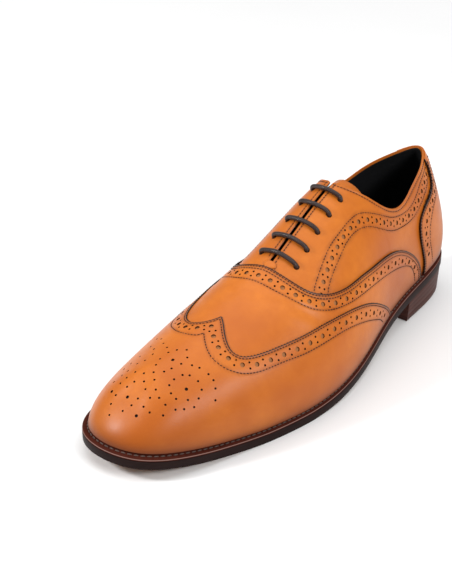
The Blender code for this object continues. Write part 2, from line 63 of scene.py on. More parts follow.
# Sections of the last, from the toe tip round to the back of the heel.
# ridge: crest of the section. outside and inside: where it meets the sole.
# rise, flare: pull of the wall at the sole. out, drop: pull at the crest. margin: sole beyond the upper.
LAST = (
    # section      ridge x, s, z      outside x, s   inside x, s   rise flare out drop margin
    ("tip",        -5.0, 271, 42.0,   -6.0, 299.0,   -6.0, 299.0,   9, 2.0, 16,  0, 5.5),
    ("toe corner", -4.2, 268, 44.0,   10.5, 294.5,  -22.0, 294.5,  10, 2.0, 17,  0, 5.5),
    ("toe side",   -1.5, 258, 47.5,   24.0, 276.0,  -35.0, 277.0,  11, 4.0, 21,  0, 5.5),
    ("forepart",    2.0, 238, 52.5,   35.0, 244.0,  -41.0, 246.0,  17, 7.0, 26,  0, 5.0),
    ("ball",        2.6, 205, 61.5,   45.0, 205.0,  -41.5, 210.0,  23, 9.5, 29,  0, 4.5),
    ("vamp",        2.5, 169, 78.0,   48.5, 168.0,  -36.0, 172.0,  33, 9.5, 24,  0, 4.0),
    ("waist",       2.5, 135, 96.5,   43.0, 130.0,  -30.0, 132.0,  42, 8.5, 21,  0, 3.8),
    ("rear",        1.5, 104, 108.0,  34.5,  95.0,  -27.5,  96.0,  43, 7.0, 25,  7, 3.6),
    ("heel front",  0.5,  75, 113.5,  29.5,  62.0,  -28.0,  62.0,  38, 6.0, 23, 15, 3.4),
    ("heel side",   0.0,  48, 114.5,  25.8,  30.0,  -25.8,  30.0,  31, 6.0, 19, 18, 3.0),
    ("heel corner", 0.0,  32, 114.5,  16.8,  10.5,  -16.8,  10.5,  28, 5.5, 14, 19, 2.8),
    ("heel back",   0.0,  25, 114.0,   0.0,   4.5,    0.0,   4.5,  28, 5.5, 14, 19, 2.8),
)
# Underside of the outsole: heel seat, arch, flat tread, toe spring (s, z).
SOLE_LINE = (
    (-5, 20.5), (30, 18.3), (66, 14.8), (100, 10.6), (135, 5.2),
    (170, 1.2), (193, 0.0), (225, 0.0), (255, 2.4), (310, 9.8),
)
# Top line of the collar (s, z). In front of COLLAR_FRONT the throat takes over.
COLLAR_LINE = (
    (8, 96.0), (30, 90.0), (50, 85.5), (66, 81.0), (80, 82.5), (92, 89.5), (104, 99.5), (113, 105.5),
)
COLLAR_FRONT = 118.0

# Leather and sole sizes.
OUTSOLE = 5.0
WELT = 3.0
WELT_EDGE = 1.2
GAP = 0.3
WALL = 2.0
LAID_GAP = 0.05
FOOT_GAP = 0.45
VAMP_OUTER = 1.45
CAP_OUTER = 2.15
COUNTER_OUTER = 1.65
CAP_OVER_VAMP = 3.5
INSOLE = 3.0
INSOLE_INSET = 2.6
HEEL_BREAST = 65.5
HEEL_INSET_TOP = 0.4
HEEL_INSET_FOOT = 1.4

# Throat: the two facings nearly meet over the tongue.
SLIT_FOOT = 144.5
THROAT_END = 240.0
SLIT_HALF = 1.0
FACING_CORNER = 0.03
TONGUE_OUTER = -6.6
TONGUE_THICK = 2.0
# Ends of the tongue (t), the crown of its top edge and the lift of its swell, mm.
TONGUE_FOOT, TONGUE_TOP, TONGUE_CREST, TONGUE_LIFT = 132.0, 228.0, 1.2, 3.6
# Sides of the tongue (t, h), and how far below the ridge the middle of its round lies.
TONGUE_EDGE = ((132, 0.80), (150, 0.70), (200, 0.63), (228, 0.66))
TONGUE_HUB = 32.0
TONGUE_TOOTH_PITCH = 2.4
# Swell of the tongue between the ears of the facings, and its settling towards the top: t, share of the lift.
TONGUE_SWELL = ((190, 0), (196, 0.3), (204, 1), (214, 0.9), (222, 0.15), (230, -0.4))
# Where the facings stop covering the tongue (t). Towards its foot from here the tongue is painted dark as
# shade.
TONGUE_COVERED = 216
# Eyelet pairs, from the foot of the throat: t, then h on the outside and on the inside.
EYELETS = (
    (151, 0.805, 0.86), (163, 0.81, 0.858), (176, 0.818, 0.861), (190, 0.828, 0.866), (204, 0.843, 0.862),
)
LACE_OVER = 1.95
LACE_UNDER = -4.3
# How far, in h, a hidden run of the lace keeps to its own lane beside the eyelets.
LACE_LANE = 0.045
# Tab at the foot of the slit: middle (t), shift to the outside, width, length and height in mm.
TAB_CENTRE, TAB_ASIDE, TAB_WIDTH, TAB_LENGTH, TAB_HEIGHT = 143.2, 1.0, 7.5, 5.0, 0.75

# The outside of the foot is side 1, the inside is side -1.
SIDES = (1, -1)
# Pattern lines (t, h): cut edges first, then the stitch lines that close each brogue band.
WING_PEAK = 100.0
WING_EDGE = {
    1: (
        (100, 1.0), (95.4, 0.944), (91, 0.893), (87, 0.826), (85.5, 0.757), (87.4, 0.703), (91.4, 0.666),
        (98, 0.633), (113, 0.578), (127, 0.525), (143, 0.467), (160, 0.40), (175, 0.338), (192, 0.256),
        (206, 0.172), (219, 0.083), (226, 0.02),
    ),
    -1: (
        (100, 1.0), (95, 0.962), (91.5, 0.905), (90.8, 0.86), (92.8, 0.805), (97.5, 0.747), (104, 0.70),
        (113, 0.655), (127, 0.60), (143, 0.53), (160, 0.45), (175, 0.375), (192, 0.28), (206, 0.187),
        (219, 0.09), (226, 0.02),
    ),
}
# Foot of the wing cap's grid lines, as a share of the edge from the peak, and t.
WING_FOOT = (
    (0, 36), (0.05, 42), (0.09, 54), (0.125, 68), (0.155, 78), (0.18, 87), (0.225, 98), (0.3, 113), (1, 225),
)
WING_LOW = {
    1: (
        (82, 1.0), (75.6, 0.917), (72.5, 0.824), (73.6, 0.734), (77.2, 0.653), (82.8, 0.585), (89.3, 0.544),
        (107, 0.49), (121, 0.44), (137, 0.388), (156, 0.328), (171, 0.267), (183, 0.212), (195, 0.151),
        (204, 0.10), (209, 0.062),
    ),
    -1: (
        (82, 1.0), (78.7, 0.967), (78.5, 0.894), (81.3, 0.803), (86.3, 0.72), (93.3, 0.639), (105, 0.57),
        (121, 0.52), (137, 0.465), (156, 0.39), (171, 0.32), (183, 0.255), (195, 0.18), (204, 0.12),
        (211, 0.07),
    ),
}
VAMP_CENTRE = 141.0
VAMP_EDGE = (
    (141, 1.0), (141, 0.90), (142.5, 0.77), (146, 0.666), (153, 0.574), (163, 0.504), (177, 0.45),
    (188, 0.425), (199, 0.402), (212, 0.382), (226, 0.358), (239, 0.318), (250, 0.262), (259, 0.195),
    (266, 0.105), (269, 0.02),
)
VAMP_LOW = (
    (130, 1.0), (131, 0.853), (135, 0.705), (142, 0.574), (150, 0.495), (162, 0.425), (174, 0.378),
    (189, 0.338), (208, 0.298), (230, 0.249), (244, 0.207), (254, 0.145), (258, 0.085), (259.5, 0.05),
)
COUNTER_EDGE = (
    (272.5, 0.0), (271.5, 0.09), (267.5, 0.20), (265.2, 0.30), (266.5, 0.37), (272, 0.426), (280, 0.463),
    (289, 0.491), (297, 0.523), (302, 0.563), (305, 0.62), (307, 0.70),
)
COUNTER_DROP = 0.012
COUNTER_IN = (
    (283, 0.065), (281.5, 0.11), (279.6, 0.16), (277.5, 0.229), (277.8, 0.288), (279.8, 0.334), (284, 0.379),
    (290, 0.42), (300.4, 0.459), (308, 0.50), (313, 0.55), (316, 0.61), (318, 0.67),
)
# Seam that runs on from the outside facing, past the tab, to the vamp.
SLIT_SEAM = ((147.4, 0.961), (144.8, 0.950), (143.1, 0.938), (141.4, 0.921))
BAND_TOP = (
    (147, 0.60), (150, 0.623), (156, 0.647), (166, 0.673), (176, 0.691), (187, 0.694), (200, 0.698),
    (209, 0.684), (216, 0.648), (226, 0.584), (236, 0.528), (247, 0.499), (259, 0.497), (272, 0.535),
    (283, 0.586), (295, 0.62), (309, 0.65),
)
BAND_LOW = (
    (155, 0.52), (158, 0.544), (166, 0.577), (179, 0.602), (191, 0.622), (200, 0.618), (209, 0.591),
    (219, 0.532), (231, 0.464), (246, 0.429), (260, 0.429), (270, 0.455), (283, 0.506), (297, 0.56),
    (307, 0.595),
)
# Usual length of a section from sole to ridge, to weigh h against t.
SECTION_LENGTH = 65.0

# Toe medallion: s, and mm from the middle line of the toe towards the outside.
MEDALLION_PINS = (
    (245.5, 2), (249.5, 6.5), (254.5, 7.5), (251.5, 12), (250, 15.5), (267, 1.5), (264, 5.5), (260, 6.5),
    (259, 13), (256.5, 15.5), (248.5, 20.5), (264, 12.5), (255.5, 20), (248.5, 24), (273, 1), (270.5, 6),
    (268, 14), (256.5, 24), (250, 27), (276, 5), (274, 10.5), (270.5, 17.5), (281, 4), (278.5, 10.5),
    (276, 14.5), (270, 21), (265.5, 24), (260.5, 26), (253.5, 30), (285, 3), (283, 10), (276, 19),
    (273.5, 23.5), (269.5, 26), (265, 27.5), (289, 0.5), (283.5, 14.5), (280, 20.5), (238.5, -27), (240, -22),
    (244.5, -15.5), (246, -23.5), (249.5, -17.5), (248, -9.5), (251.5, -5), (248, -2.5), (254.5, -13),
    (255, -22), (260, -12.5), (257.5, -4.5), (262.5, -15.5), (262.5, -2), (260.5, -22.5), (264.5, -23),
    (268.5, -15.5), (270, -8), (269.5, -2.5), (271.5, -16.5), (274, -10.5), (275.5, -18.5), (277.5, -12),
    (275, -4), (278.5, -6), (283.5, -9.5), (288, -9), (292.5, -6),
)
MEDALLION_ROUNDS = ((255, 2), (263, 20), (282.5, -2), (288, 9), (282, -14))
# Soft troughs where the forepart flexes: first and last point (t, h), depth and half width in mm.
CREASES = (
    (118, 0.93, 150, 0.36, 0.22, 3.0),
    (128, 0.90, 166, 0.30, 0.16, 2.6),
    (232, 0.50, 262, 0.34, 0.18, 6.0),
)

# Rows of a leather piece, in mm from its cut edge, so that edge, seams and holes keep their form.
NEAR_ROWS = (0, 0.3, 0.7, 1.2, 1.7, 2.2, 2.9, 3.8, 5, 6.2, 7.4, 8.6, 9.8, 10.6, 11.2, 11.8, 12.6, 14)
FACING_ROWS = (0, 0.25, 0.6, 1.1, 1.7, 2.3, 3.0, 4.0, 5.0)
# Seams and bands, in mm from the cut edge.
WING_SEAM = 1.7
VAMP_SEAMS = (1.4, 3.0)
COUNTER_SEAM = 1.5
FACING_SEAM = 2.0
PIN_REACH = 1.65
BAND_GROWTH = 0.45
HOLE_SIDES = 16
# Share of a round hole's width that the larger holes of the medallion have.
MEDALLION_WIDE = 0.68
# Columns of a leather piece along its cut edge.
WING_COLUMNS, VAMP_COLUMNS, COUNTER_COLUMNS = 340, 360, 190
# Rows of each piece beyond those near its cut edge.
FAR_ROWS = {"quarters": 40, "vamp": 26, "wing_cap": 26, "heel_counter": 22, "tongue": 30}
# Sunk seams: depth and half width, mm.
SEAM_DEPTH, SEAM_WIDE = 0.18, 0.6
# Burnish: strength, and reach in mm, at cut edges, along seams, at the foot and low on the walls. At the foot
# by the welt and low on the walls it is partly painted shade.
EDGE_BURNISH, SEAM_BURNISH, FOOT_SHADE_AND_BURNISH, WALL_SHADE_AND_BURNISH = (0.30, 1.2), (0.45, 0.9), (0.85, 3.0), (0.36, 15)
# More burnish on the toe: strength, s where it starts, and the mm over which it grows.
TOE_BURNISH, TOE_START, TOE_GROWTH = 0.10, 262, 40
# Width of the dyed line along a cut edge, and of its soft border, mm.
DYE_WIDE, DYE_SOFT = 1.05, 0.3
# Folded edge of a facing: height of its bead, distance from the edge and half width, mm.
BEAD_HEIGHT, BEAD_AT, BEAD_WIDE = 0.2, 0.9, 0.5
# Streaks of a stacked edge: how much its mottling is drawn together along x, y and z.
STREAKS = (1, 1, 9)
# Least rise of a piece's cut edge over its foot, in h.
LEAST_RISE = 0.012
# Across the welt's top: share from the upper to the outer edge, and how far it is sunk, mm.
WELT_TOP = (
    (0.0, 0.0), (0.08, 0.0), (0.18, 0.05), (0.26, 0.35), (0.36, 0.45), (0.46, 0.35), (0.54, 0.05), (0.8, 0.0),
    (0.93, 0.04), (0.985, 0.2), (1.0, 0.5),
)
# Section points of the welt: in its groove, and on its outer corner.
WELT_GROOVE, WELT_CORNER = 5, 10
# Gap between the welt and the last, and how far the welt's seam runs past the heel breast.
WELT_CLEAR = 0.45
WELT_SEAM_PAST = 22
WELT_STITCH_LENGTH, WELT_STITCH_WIDTH = 2.9, 0.95
# Heel from the top piece up: share of its height, and how far the side is cut in, mm.
HEEL_LIFTS = (
    (0.0, 0.5), (0.03, 0.1), (0.06, 0.0), (0.31, 0.0), (0.32, 0.05), (0.33, 0.0), (0.54, 0.0), (0.548, 0.02),
    (0.556, 0.0), (0.76, 0.0), (0.768, 0.02), (0.776, 0.0), (0.97, 0.0), (1.0, 0.2),
)
# One stitch, from end to end: share of its half length, and of its half width.
STITCH_RINGS = ((-1.0, 0.3), (-0.7, 0.85), (0.0, 1.0), (0.7, 0.85), (1.0, 0.3))
STITCH_SIDES = 6
# How far the middle of a stitch lies under the leather's face, mm.
STITCH_SUNK = 0.06
LACE_SIDES = 14
# Share of the lace's half length where its end starts to round off.
LACE_TIP = 0.996
# Lights: place, and width and height, in m. Their powers are properties of the stage.
LIGHTS = {
    "top": ((-0.35, 0.45, 2.9), (3.8, 3.8)),
    "side": ((0.95, -0.10, 0.66), (0.7, 0.16)),
    "toe": ((-0.60, -0.76, 0.68), (0.2, 0.2)),
}
LIGHT_AIM = (0, 0, 0.04)
SENSOR_HEIGHT = 24.0
# Material slots of a leather piece. The dyed edge slot also paints the floors of the pin holes dark as shade.
CALF, EDGE_AND_SHADE_SLOT, HOLE_FLOOR, HOLE_WALL, LINING = range(5)


def size_property(name, about, default):
    return FloatProperty(name=name, description=f"{about}, mm", default=default)


def colour_property(name, about, default):
    return FloatVectorProperty(name=name, description=about, subtype="COLOR", default=default)


def angle_property(name, about, degrees):
    return FloatProperty(name=name, description=about, subtype="ANGLE", default=math.radians(degrees))


def power_property(name, about, watts):
    return FloatProperty(name=name, description=about, unit="POWER", default=watts)


class ShoeSizes(bpy.types.PropertyGroup):
    """Sizes of the sewing and punching, in millimetres."""

    stitch_pitch: size_property("Stitch pitch", "From stitch to stitch", 2.0)
    stitch_length: size_property("Stitch length", "Thread that shows", 1.6)
    stitch_width: size_property("Stitch width", "Thickness of the thread", 0.62)
    hole_pitch: size_property("Hole pitch", "From one round hole to the next", 8.0)
    hole_round: size_property("Round hole", "Diameter of the round holes", 2.9)
    hole_pin: size_property("Pin hole", "Diameter of the pin holes", 1.35)
    hole_depth: size_property("Hole depth", "Depth of the round holes", 0.9)
    pin_depth: size_property("Pin depth", "Depth of the pin holes", 0.9)
    tooth_pitch: size_property("Tooth pitch", "Pitch of the gimped edges", 2.0)
    tooth_depth: size_property("Tooth depth", "Depth of the gimped edges", 0.75)
    lace_width: size_property("Lace width", "Diameter of the lace", 2.7)
    eyelet_width: size_property("Eyelet width", "Diameter of the eyelets", 3.6)
    welt_pitch: size_property("Welt stitch pitch", "From welt stitch to stitch", 3.6)


class ShoeColours(bpy.types.PropertyGroup):
    """Colours of the leathers, edges and threads."""

    tan: colour_property("Tan", "Clear tan calf", (0.56, 0.158, 0.0158))
    deep_tan: colour_property("Deep tan", "Deeper clouds in the calf", (0.41, 0.096, 0.0095))
    # Burnish, and painted shade: the same colour darkens the foot by the welt and the low walls.
    burnish: colour_property("Burnish", "Burnished toe, seams and edges", (0.15, 0.032, 0.0045))
    # Dyed edges, and also painted shade: the floors of the pin holes and the tongue inside the slit.
    cut_edge_and_shade: colour_property("Cut edge", "Dyed edges and pin holes", (0.018, 0.007, 0.004))
    hole_floor: colour_property("Hole floor", "Leather seen in the round holes", (0.30, 0.118, 0.040))
    hole_wall: colour_property("Hole wall", "Cut sides of the round holes", (0.06, 0.018, 0.006))
    lining: colour_property("Lining", "Black lining", (0.006, 0.006, 0.0065))
    thread: colour_property("Thread", "Dark brown thread", (0.028, 0.009, 0.005))
    welt: colour_property("Welt", "Dark reddish welt", (0.042, 0.0095, 0.0058))
    # Painted highlight: a lighter colour on the welt's outer corner, where light glints on it.
    welt_glint: colour_property("Worn welt", "Rubbed outer corner of the welt", (0.27, 0.165, 0.14))
    welt_thread: colour_property("Welt thread", "Waxed welt thread", (0.065, 0.044, 0.037))
    heel: colour_property("Heel", "Stained stacked leather", (0.044, 0.0165, 0.0130))
    sole: colour_property("Sole edge", "Dyed sole edge", (0.013, 0.0066, 0.0060))
    sole_under: colour_property("Sole underside", "Leather underside", (0.16, 0.075, 0.035))
    lace: colour_property("Lace", "Waxed lace", (0.018, 0.0095, 0.0080))
    floor: colour_property("Floor", "Pale floor", (0.82, 0.82, 0.82))


class ShoeStage(bpy.types.PropertyGroup):
    """Camera and lights."""

    azimuth: angle_property("Azimuth", "Turn round the shoe", 38.4)
    elevation: angle_property("Elevation", "Height over the horizon", 29.5)
    roll: angle_property("Roll", "Turn about the view", 0.8)
    distance: FloatProperty(
        name="Distance", description="From the camera to its target", unit="LENGTH", default=0.913
    )
    target: FloatVectorProperty(
        name="Target", description="Middle of the picture", subtype="XYZ", default=(-0.03235, -0.0183, 0.045)
    )
    lens: size_property("Lens", "Focal length on a 24 mm high sensor", 63.74)
    top_power: power_property("Top light", "Wide panel overhead", 76.0)
    side_power: power_property("Side light", "Long softbox at the outside", 8.2)
    toe_power: power_property("Toe light", "Small softbox before the toe", 9.0)
    sky: FloatProperty(name="Sky", description="Brightness of the surroundings", default=0.34)


# The last and its sheets.


def spline(knots, values, period=None):
    """Cubic spline with smooth curvature through the knots. With a period it closes on itself."""
    x = np.asarray(knots, float)
    y = np.asarray(values, float)
    count = len(x)
    if period:
        x = np.append(x, x[0] + period)
        y = np.concatenate([y, y[:1]])
    step = np.diff(x)
    shape = (-1,) + (1,) * (y.ndim - 1)
    rise = np.diff(y, axis=0) / step.reshape(shape)
    system = np.zeros((len(x), len(x)))
    right = np.zeros(y.shape)
    for i in range(1, len(x) - 1):
        system[i, i - 1 : i + 2] = step[i - 1], 2 * (step[i - 1] + step[i]), step[i]
        right[i] = 6 * (rise[i] - rise[i - 1])
    if period:
        system[0, [0, 1]] = 2 * (step[-1] + step[0]), step[0]
        system[0, count - 1] += step[-1]
        right[0] = 6 * (rise[0] - rise[-1])
        system[-1, [0, -1]] = 1, -1
    else:
        system[0, 0] = system[-1, -1] = 1
    bend = np.linalg.solve(system, right)

    def value(at):
        at = np.asarray(at, float)
        if period:
            at = (at - x[0]) % period + x[0]
        i = np.clip(np.searchsorted(x, at, side="right") - 1, 0, len(step) - 1)
        width = step[i].reshape(at.shape + (1,) * (y.ndim - 1))
        into = (at - x[i]).reshape(width.shape)
        slope = rise[i] - width * (2 * bend[i] + bend[i + 1]) / 6
        return y[i] + into * (slope + into * (bend[i] / 2 + into * (bend[i + 1] - bend[i]) / (6 * width)))

    return value


def along(points, shares):
    """Points on a smooth curve through pattern points (t, h), at shares of its length."""
    flat = np.asarray(points, float) * (1, SECTION_LENGTH)
    knots = run_length(flat)
    return spline(knots, flat)(np.asarray(shares) * knots[-1]) / (1, SECTION_LENGTH)


ROWS = np.array([row[1:] for row in LAST], float)
RIDGE, OUTSIDE, INSIDE, PULLS = ROWS[:, 0:3], ROWS[:, 3:5], ROWS[:, 5:7], ROWS[:, 7:12]
CHORDS = 0.5 * (
    np.linalg.norm(np.diff(OUTSIDE, axis=0), axis=1) + np.linalg.norm(np.diff(INSIDE, axis=0), axis=1)
)
STATIONS = np.append(0, np.cumsum(CHORDS))
BACK = STATIONS[-1]
LOOP = spline(
    np.concatenate([STATIONS, (2 * BACK - STATIONS[::-1])[1:-1]]),
    np.concatenate(
        [np.hstack([OUTSIDE, RIDGE, PULLS]), np.hstack([INSIDE, RIDGE, PULLS])[::-1][1:-1]]
    ),
    period=2 * BACK,
)
RIDGE_HEIGHT = spline(RIDGE[::-1, 1], RIDGE[::-1, 2])
SOLE_HEIGHT = spline(*zip(*SOLE_LINE))
COLLAR_HEIGHT = spline(*zip(*COLLAR_LINE))


def tread(s):
    """Height of the outsole's underside. The forepart is flat where it stands on the floor."""
    return np.maximum(SOLE_HEIGHT(s), 0.0)


def unit(vectors):
    return vectors / np.maximum(np.linalg.norm(vectors, axis=-1, keepdims=True), 1e-9)


def last(t, h):
    """Point of the last's surface, as a cubic curve from the sole edge up to the ridge."""
    t, h = np.broadcast_arrays(np.asarray(t, float), np.asarray(h, float))
    row = LOOP(t)
    foot_s, ridge_s = row[..., 1], row[..., 3]
    foot = np.stack([row[..., 0], foot_s, tread(foot_s) + OUTSOLE + GAP], -1)
    ridge = np.stack([row[..., 2], ridge_s, RIDGE_HEIGHT(ridge_s)], -1)
    level = unit((foot - ridge) * (1, 1, 0))
    rise, flare, out, drop = (row[..., k, None] for k in (5, 6, 7, 8))
    climb = RIDGE_HEIGHT(ridge_s + 0.5) - RIDGE_HEIGHT(ridge_s - 0.5)
    crest = level + (0, 0, 1) * (level[..., 1:2] * climb[..., None] * np.exp(-drop / 6))
    low = foot + rise * (0, 0, 1) + flare * level
    high = ridge + out * crest - drop * (0, 0, 1)
    h = h[..., None]
    g = 1 - h
    return g**3 * foot + 3 * g * g * h * low + 3 * g * h * h * high + h**3 * ridge


def outward(t, h):
    """Unit normal of the last. On the ridge it is the mean of the two sides."""
    t, h = np.broadcast_arrays(np.asarray(t, float), np.asarray(h, float))
    near = np.minimum(h, 0.985)

    def one_side(at):
        around = last(at + 0.2, near) - last(at - 0.2, near)
        up = last(at, near + 0.004) - last(at, near - 0.004)
        return unit(np.cross(up, around))

    normal = one_side(t)
    both = unit(normal + one_side(-t))
    return np.where(h[..., None] > 0.9995, both, normal)


def skin(t, h, offset):
    """Point at a distance out from the last."""
    return last(t, h) + np.asarray(offset, float)[..., None] * outward(t, h)


def climb_to(t, above, offset=0.0):
    """Lowest h on each section where above(point at the offset) is true, or 1."""
    t = np.asarray(t, float)
    grid = np.linspace(0, 1, 101)
    hit = above(skin(t[:, None], grid[None], offset))
    first = np.where(hit.any(axis=1), hit.argmax(axis=1), 100)
    high = grid[first]
    low = grid[np.maximum(first - 1, 0)]
    for _ in range(18):
        middle = (low + high) / 2
        over = above(skin(t, middle, offset))
        high = np.where(over, middle, high)
        low = np.where(over, low, middle)
    return high


def over_collar(point):
    return (point[..., 2] > COLLAR_HEIGHT(point[..., 1])) & (point[..., 1] < COLLAR_FRONT)


def over_welt(point):
    return point[..., 2] > tread(point[..., 1]) + OUTSOLE + WELT + FOOT_GAP


def upper_top(t):
    """Upper edge of the quarters: the ridge in front, then the slit, then the collar, with a round corner."""
    t = np.asarray(t, float)
    middle = LOOP(t)[:, 2]

    def over_slit(point):
        centre = middle[:, None] if point.ndim == 3 else middle
        return np.abs(point[..., 0] - centre) < SLIT_HALF

    in_throat = (t > SLIT_FOOT + 0.01) & (t < THROAT_END)
    slit = np.where(in_throat, climb_to(t, over_slit), 1.0)
    collar = climb_to(t, over_collar)
    corner = FACING_CORNER
    both = -corner * np.log(np.exp(-(slit - 1) / corner) + np.exp(-(collar - 1) / corner)) + 1
    return np.where(collar < 0.999, np.minimum(both, np.minimum(slit, collar)), slit)


def ridge_stations(end, count):
    """Stations from the toe tip to the end that lie evenly along the ridge, without the end."""
    fine = np.linspace(0, end, 800)
    reach = LOOP(fine)[:, 3]
    return np.interp(np.linspace(-reach[0], -reach[-1], count, endpoint=False), -reach, fine)


def foot_edge(t, extra):
    """Plan outline at a distance from the upper's foot (x, s)."""
    t = np.asarray(t, float)
    run = unit(LOOP(t + 0.5)[..., :2] - LOOP(t - 0.5)[..., :2])
    out = np.stack([-run[..., 1], run[..., 0]], -1)
    return LOOP(t)[..., :2] + out * np.asarray(extra, float)[..., None]


def sole_edge(t, extra=0.0):
    """Plan outline of the sole: the upper's foot moved out by the sole margin."""
    return foot_edge(t, LOOP(t)[..., 9] + extra)


def place(points):
    """Last millimetres to metres in the shoe's frame."""
    points = np.asarray(points, float)
    return np.stack([points[..., 0] - CENTRE_X, CENTRE_S - points[..., 1], points[..., 2]], -1) * MM


def sunk(t, h, offset):
    """Point inside the last, on the round of the tongue: drawn towards a middle below the ridge."""
    point = last(t, h)
    hub = last(t, np.ones(np.shape(t))) - (0, 0, TONGUE_HUB)
    return point + np.asarray(offset, float)[..., None] * unit((point - hub) * (1, 0, 1))


def aside(line, distance, side=1):
    """Moves a pattern line sideways over the last, by mm, away from the toe and the sole."""
    t, h = side * line[:, 0], line[:, 1]
    around = side * (last(t + 0.2, h) - last(t - 0.2, h)) / 0.4
    up = (last(t, h + 0.004) - last(t, h - 0.004)) / 0.008
    run = unit(np.gradient(last(t, h), axis=0))
    away = side * np.cross(run, outward(t, h))
    a, b, c = (around * around).sum(1), (around * up).sum(1), (up * up).sum(1)
    p, q = (around * away).sum(1), (up * away).sum(1)
    room = a * c - b * b
    return line + distance * np.column_stack([(c * p - b * q) / room, (a * q - b * p) / room])


def on_skin(line, offset, side=1):
    return skin(side * line[:, 0], line[:, 1], offset)


def run_length(spots):
    """Distance along a line of points, in mm."""
    return np.append(0, np.cumsum(np.linalg.norm(np.diff(spots, axis=0), axis=1)))


def read_line(line, run, at):
    """Points at distances along a line."""
    return np.column_stack([np.interp(at, run, column) for column in line.T])


def evenly(line, pitch, offset, side=1):
    """Pattern points at an even pitch in mm along a line."""
    run = run_length(on_skin(line, offset, side))
    count = max(int(run[-1] / pitch), 1)
    return read_line(line, run, (np.arange(count) + 0.5) * run[-1] / count)


def dense(points, count=900):
    return along(points, np.linspace(0, 1, count))


def meet_ridge(line, t):
    """Starts a line at a point on the ridge, where the line of the other half meets it."""
    return np.vstack([(t, 1.0), line[line[:, 1] < 0.995]])


def from_edge(edge, far, near_rows, far_rows, bite, side=1, lean=1.0):
    """Pattern grids t and h from a cut edge to a far line. Bite moves the edge in, in mm.

    Grid lines with a lean over 1 run along the last first, and then down it.
    """
    lean = np.broadcast_to(lean, len(edge))[:, None]
    fine = np.linspace(0, 1, 90)

    def between(share):
        t = far[:, :1] + (edge[:, :1] - far[:, :1]) * (1 - share) ** lean
        return t, edge[:, 1:] * (1 - share) + far[:, 1:] * share

    t, h = between(fine[None])
    hop = np.linalg.norm(np.diff(last(side * t, h), axis=1), axis=2)
    run = np.concatenate([np.zeros((len(edge), 1)), np.cumsum(hop, axis=1)], axis=1)
    length = run[:, -1:]
    near = np.asarray(near_rows, float)[None]
    near = near * np.minimum(1, length / (1.5 * near[0, -1]))
    rest = near[:, -1:] + (length - near[:, -1:]) * (np.arange(1, far_rows + 1) / far_rows)[None] ** 1.15
    rows = np.concatenate([near, rest], axis=1)
    rows = rows + bite[:, None] * np.clip(1 - rows / 0.9, 0, 1)
    t, h = between(np.stack([np.interp(rows[i], run[i], fine) for i in range(len(edge))]))
    return np.stack([side * t, h])


def mirrored(grid):
    """Pattern grids of both halves, from the outside one."""
    t, h = grid
    return np.stack([t, -t]), np.stack([h, h])


def teeth(edge, offset, pitch, depth, side=1):
    """How far each point of an edge is cut back by the gimping, in mm."""
    run = run_length(on_skin(edge, offset, side))
    return depth * np.abs(2 * ((run / pitch) % 1) - 1)


def search_tree(points):
    tree = KDTree(len(points))
    for number, point in enumerate(points):
        tree.insert(point, number)
    tree.balance()
    return tree


def distance_to(spots, line):
    """Distance of each point to the nearest of the line's points, in mm."""
    tree = search_tree(line)
    flat = spots.reshape(-1, 3)
    return np.array([tree.find(point)[2] for point in flat]).reshape(spots.shape[:-1])


# Mesh helpers.


def deselect_all():
    bpy.ops.object.select_all(action="DESELECT")


def make_active(piece):
    deselect_all()
    piece.select_set(True)
    bpy.context.view_layer.objects.active = piece


def apply_modifier(piece, modifier):
    make_active(piece)
    bpy.ops.object.modifier_apply(modifier=modifier.name)


def write_points(piece, points):
    piece.data.vertices.foreach_set("co", np.asarray(points, np.float32).ravel())
    piece.data.update()


def read_points(piece):
    flat = np.empty(len(piece.data.vertices) * 3, np.float32)
    piece.data.vertices.foreach_get("co", flat)
    return flat.reshape(-1, 3)


def store(piece, name, values):
    layer = piece.data.attributes.new(name, "FLOAT", "POINT")
    layer.data.foreach_set("value", np.asarray(values, np.float32).ravel())


def grid_piece(name, points, **layers):
    """A grid primitive whose columns and rows are laid on the given points (columns, rows, 3), in mm."""
    columns, rows = points.shape[:2]
    deselect_all()
    bpy.ops.mesh.primitive_grid_add(x_subdivisions=columns - 1, y_subdivisions=rows - 1, size=1)
    piece = bpy.context.object
    piece.name = name
    piece.data.name = name
    flat = read_points(piece)
    column = np.rint((flat[:, 0] + 0.5) * (columns - 1)).astype(int)
    row = np.rint((flat[:, 1] + 0.5) * (rows - 1)).astype(int)
    write_points(piece, place(points[column, row]))
    for layer, values in layers.items():
        store(piece, layer, values[column, row])
    return piece


def new_piece(name, verts, faces):
    """A piece from points in mm and faces."""
    mesh = bpy.data.meshes.new(name)
    mesh.from_pydata(place(verts).tolist(), [], faces)
    piece = bpy.data.objects.new(name, mesh)
    bpy.context.collection.objects.link(piece)
    return piece


# Steps for edit_all.
MERGE = bpy.ops.mesh.remove_doubles, {"threshold": 2e-6}
DROP_SLIVERS = bpy.ops.mesh.dissolve_degenerate, {"threshold": 1e-6}
CLOSE_ENDS = bpy.ops.mesh.fill_holes, {"sides": 0}
TURN_OUT = bpy.ops.mesh.normals_make_consistent, {"inside": False}


def edit_all(piece, *steps):
    """Runs edit mode steps, each an operator and its settings, on the whole of a piece."""
    make_active(piece)
    bpy.ops.object.mode_set(mode="EDIT")
    for operator, settings in steps:
        bpy.ops.mesh.select_all(action="SELECT")
        operator(**settings)
    bpy.ops.object.mode_set(mode="OBJECT")


def weld(piece, others=(), closed=False):
    """Joins the parts of a piece, merges what meets and turns the faces outwards."""
    make_active(piece)
    for part in others:
        part.select_set(True)
    if others:
        bpy.ops.object.join()
    edit_all(piece, MERGE, DROP_SLIVERS, TURN_OUT)
    if not closed:
        face_out(piece)
    return piece


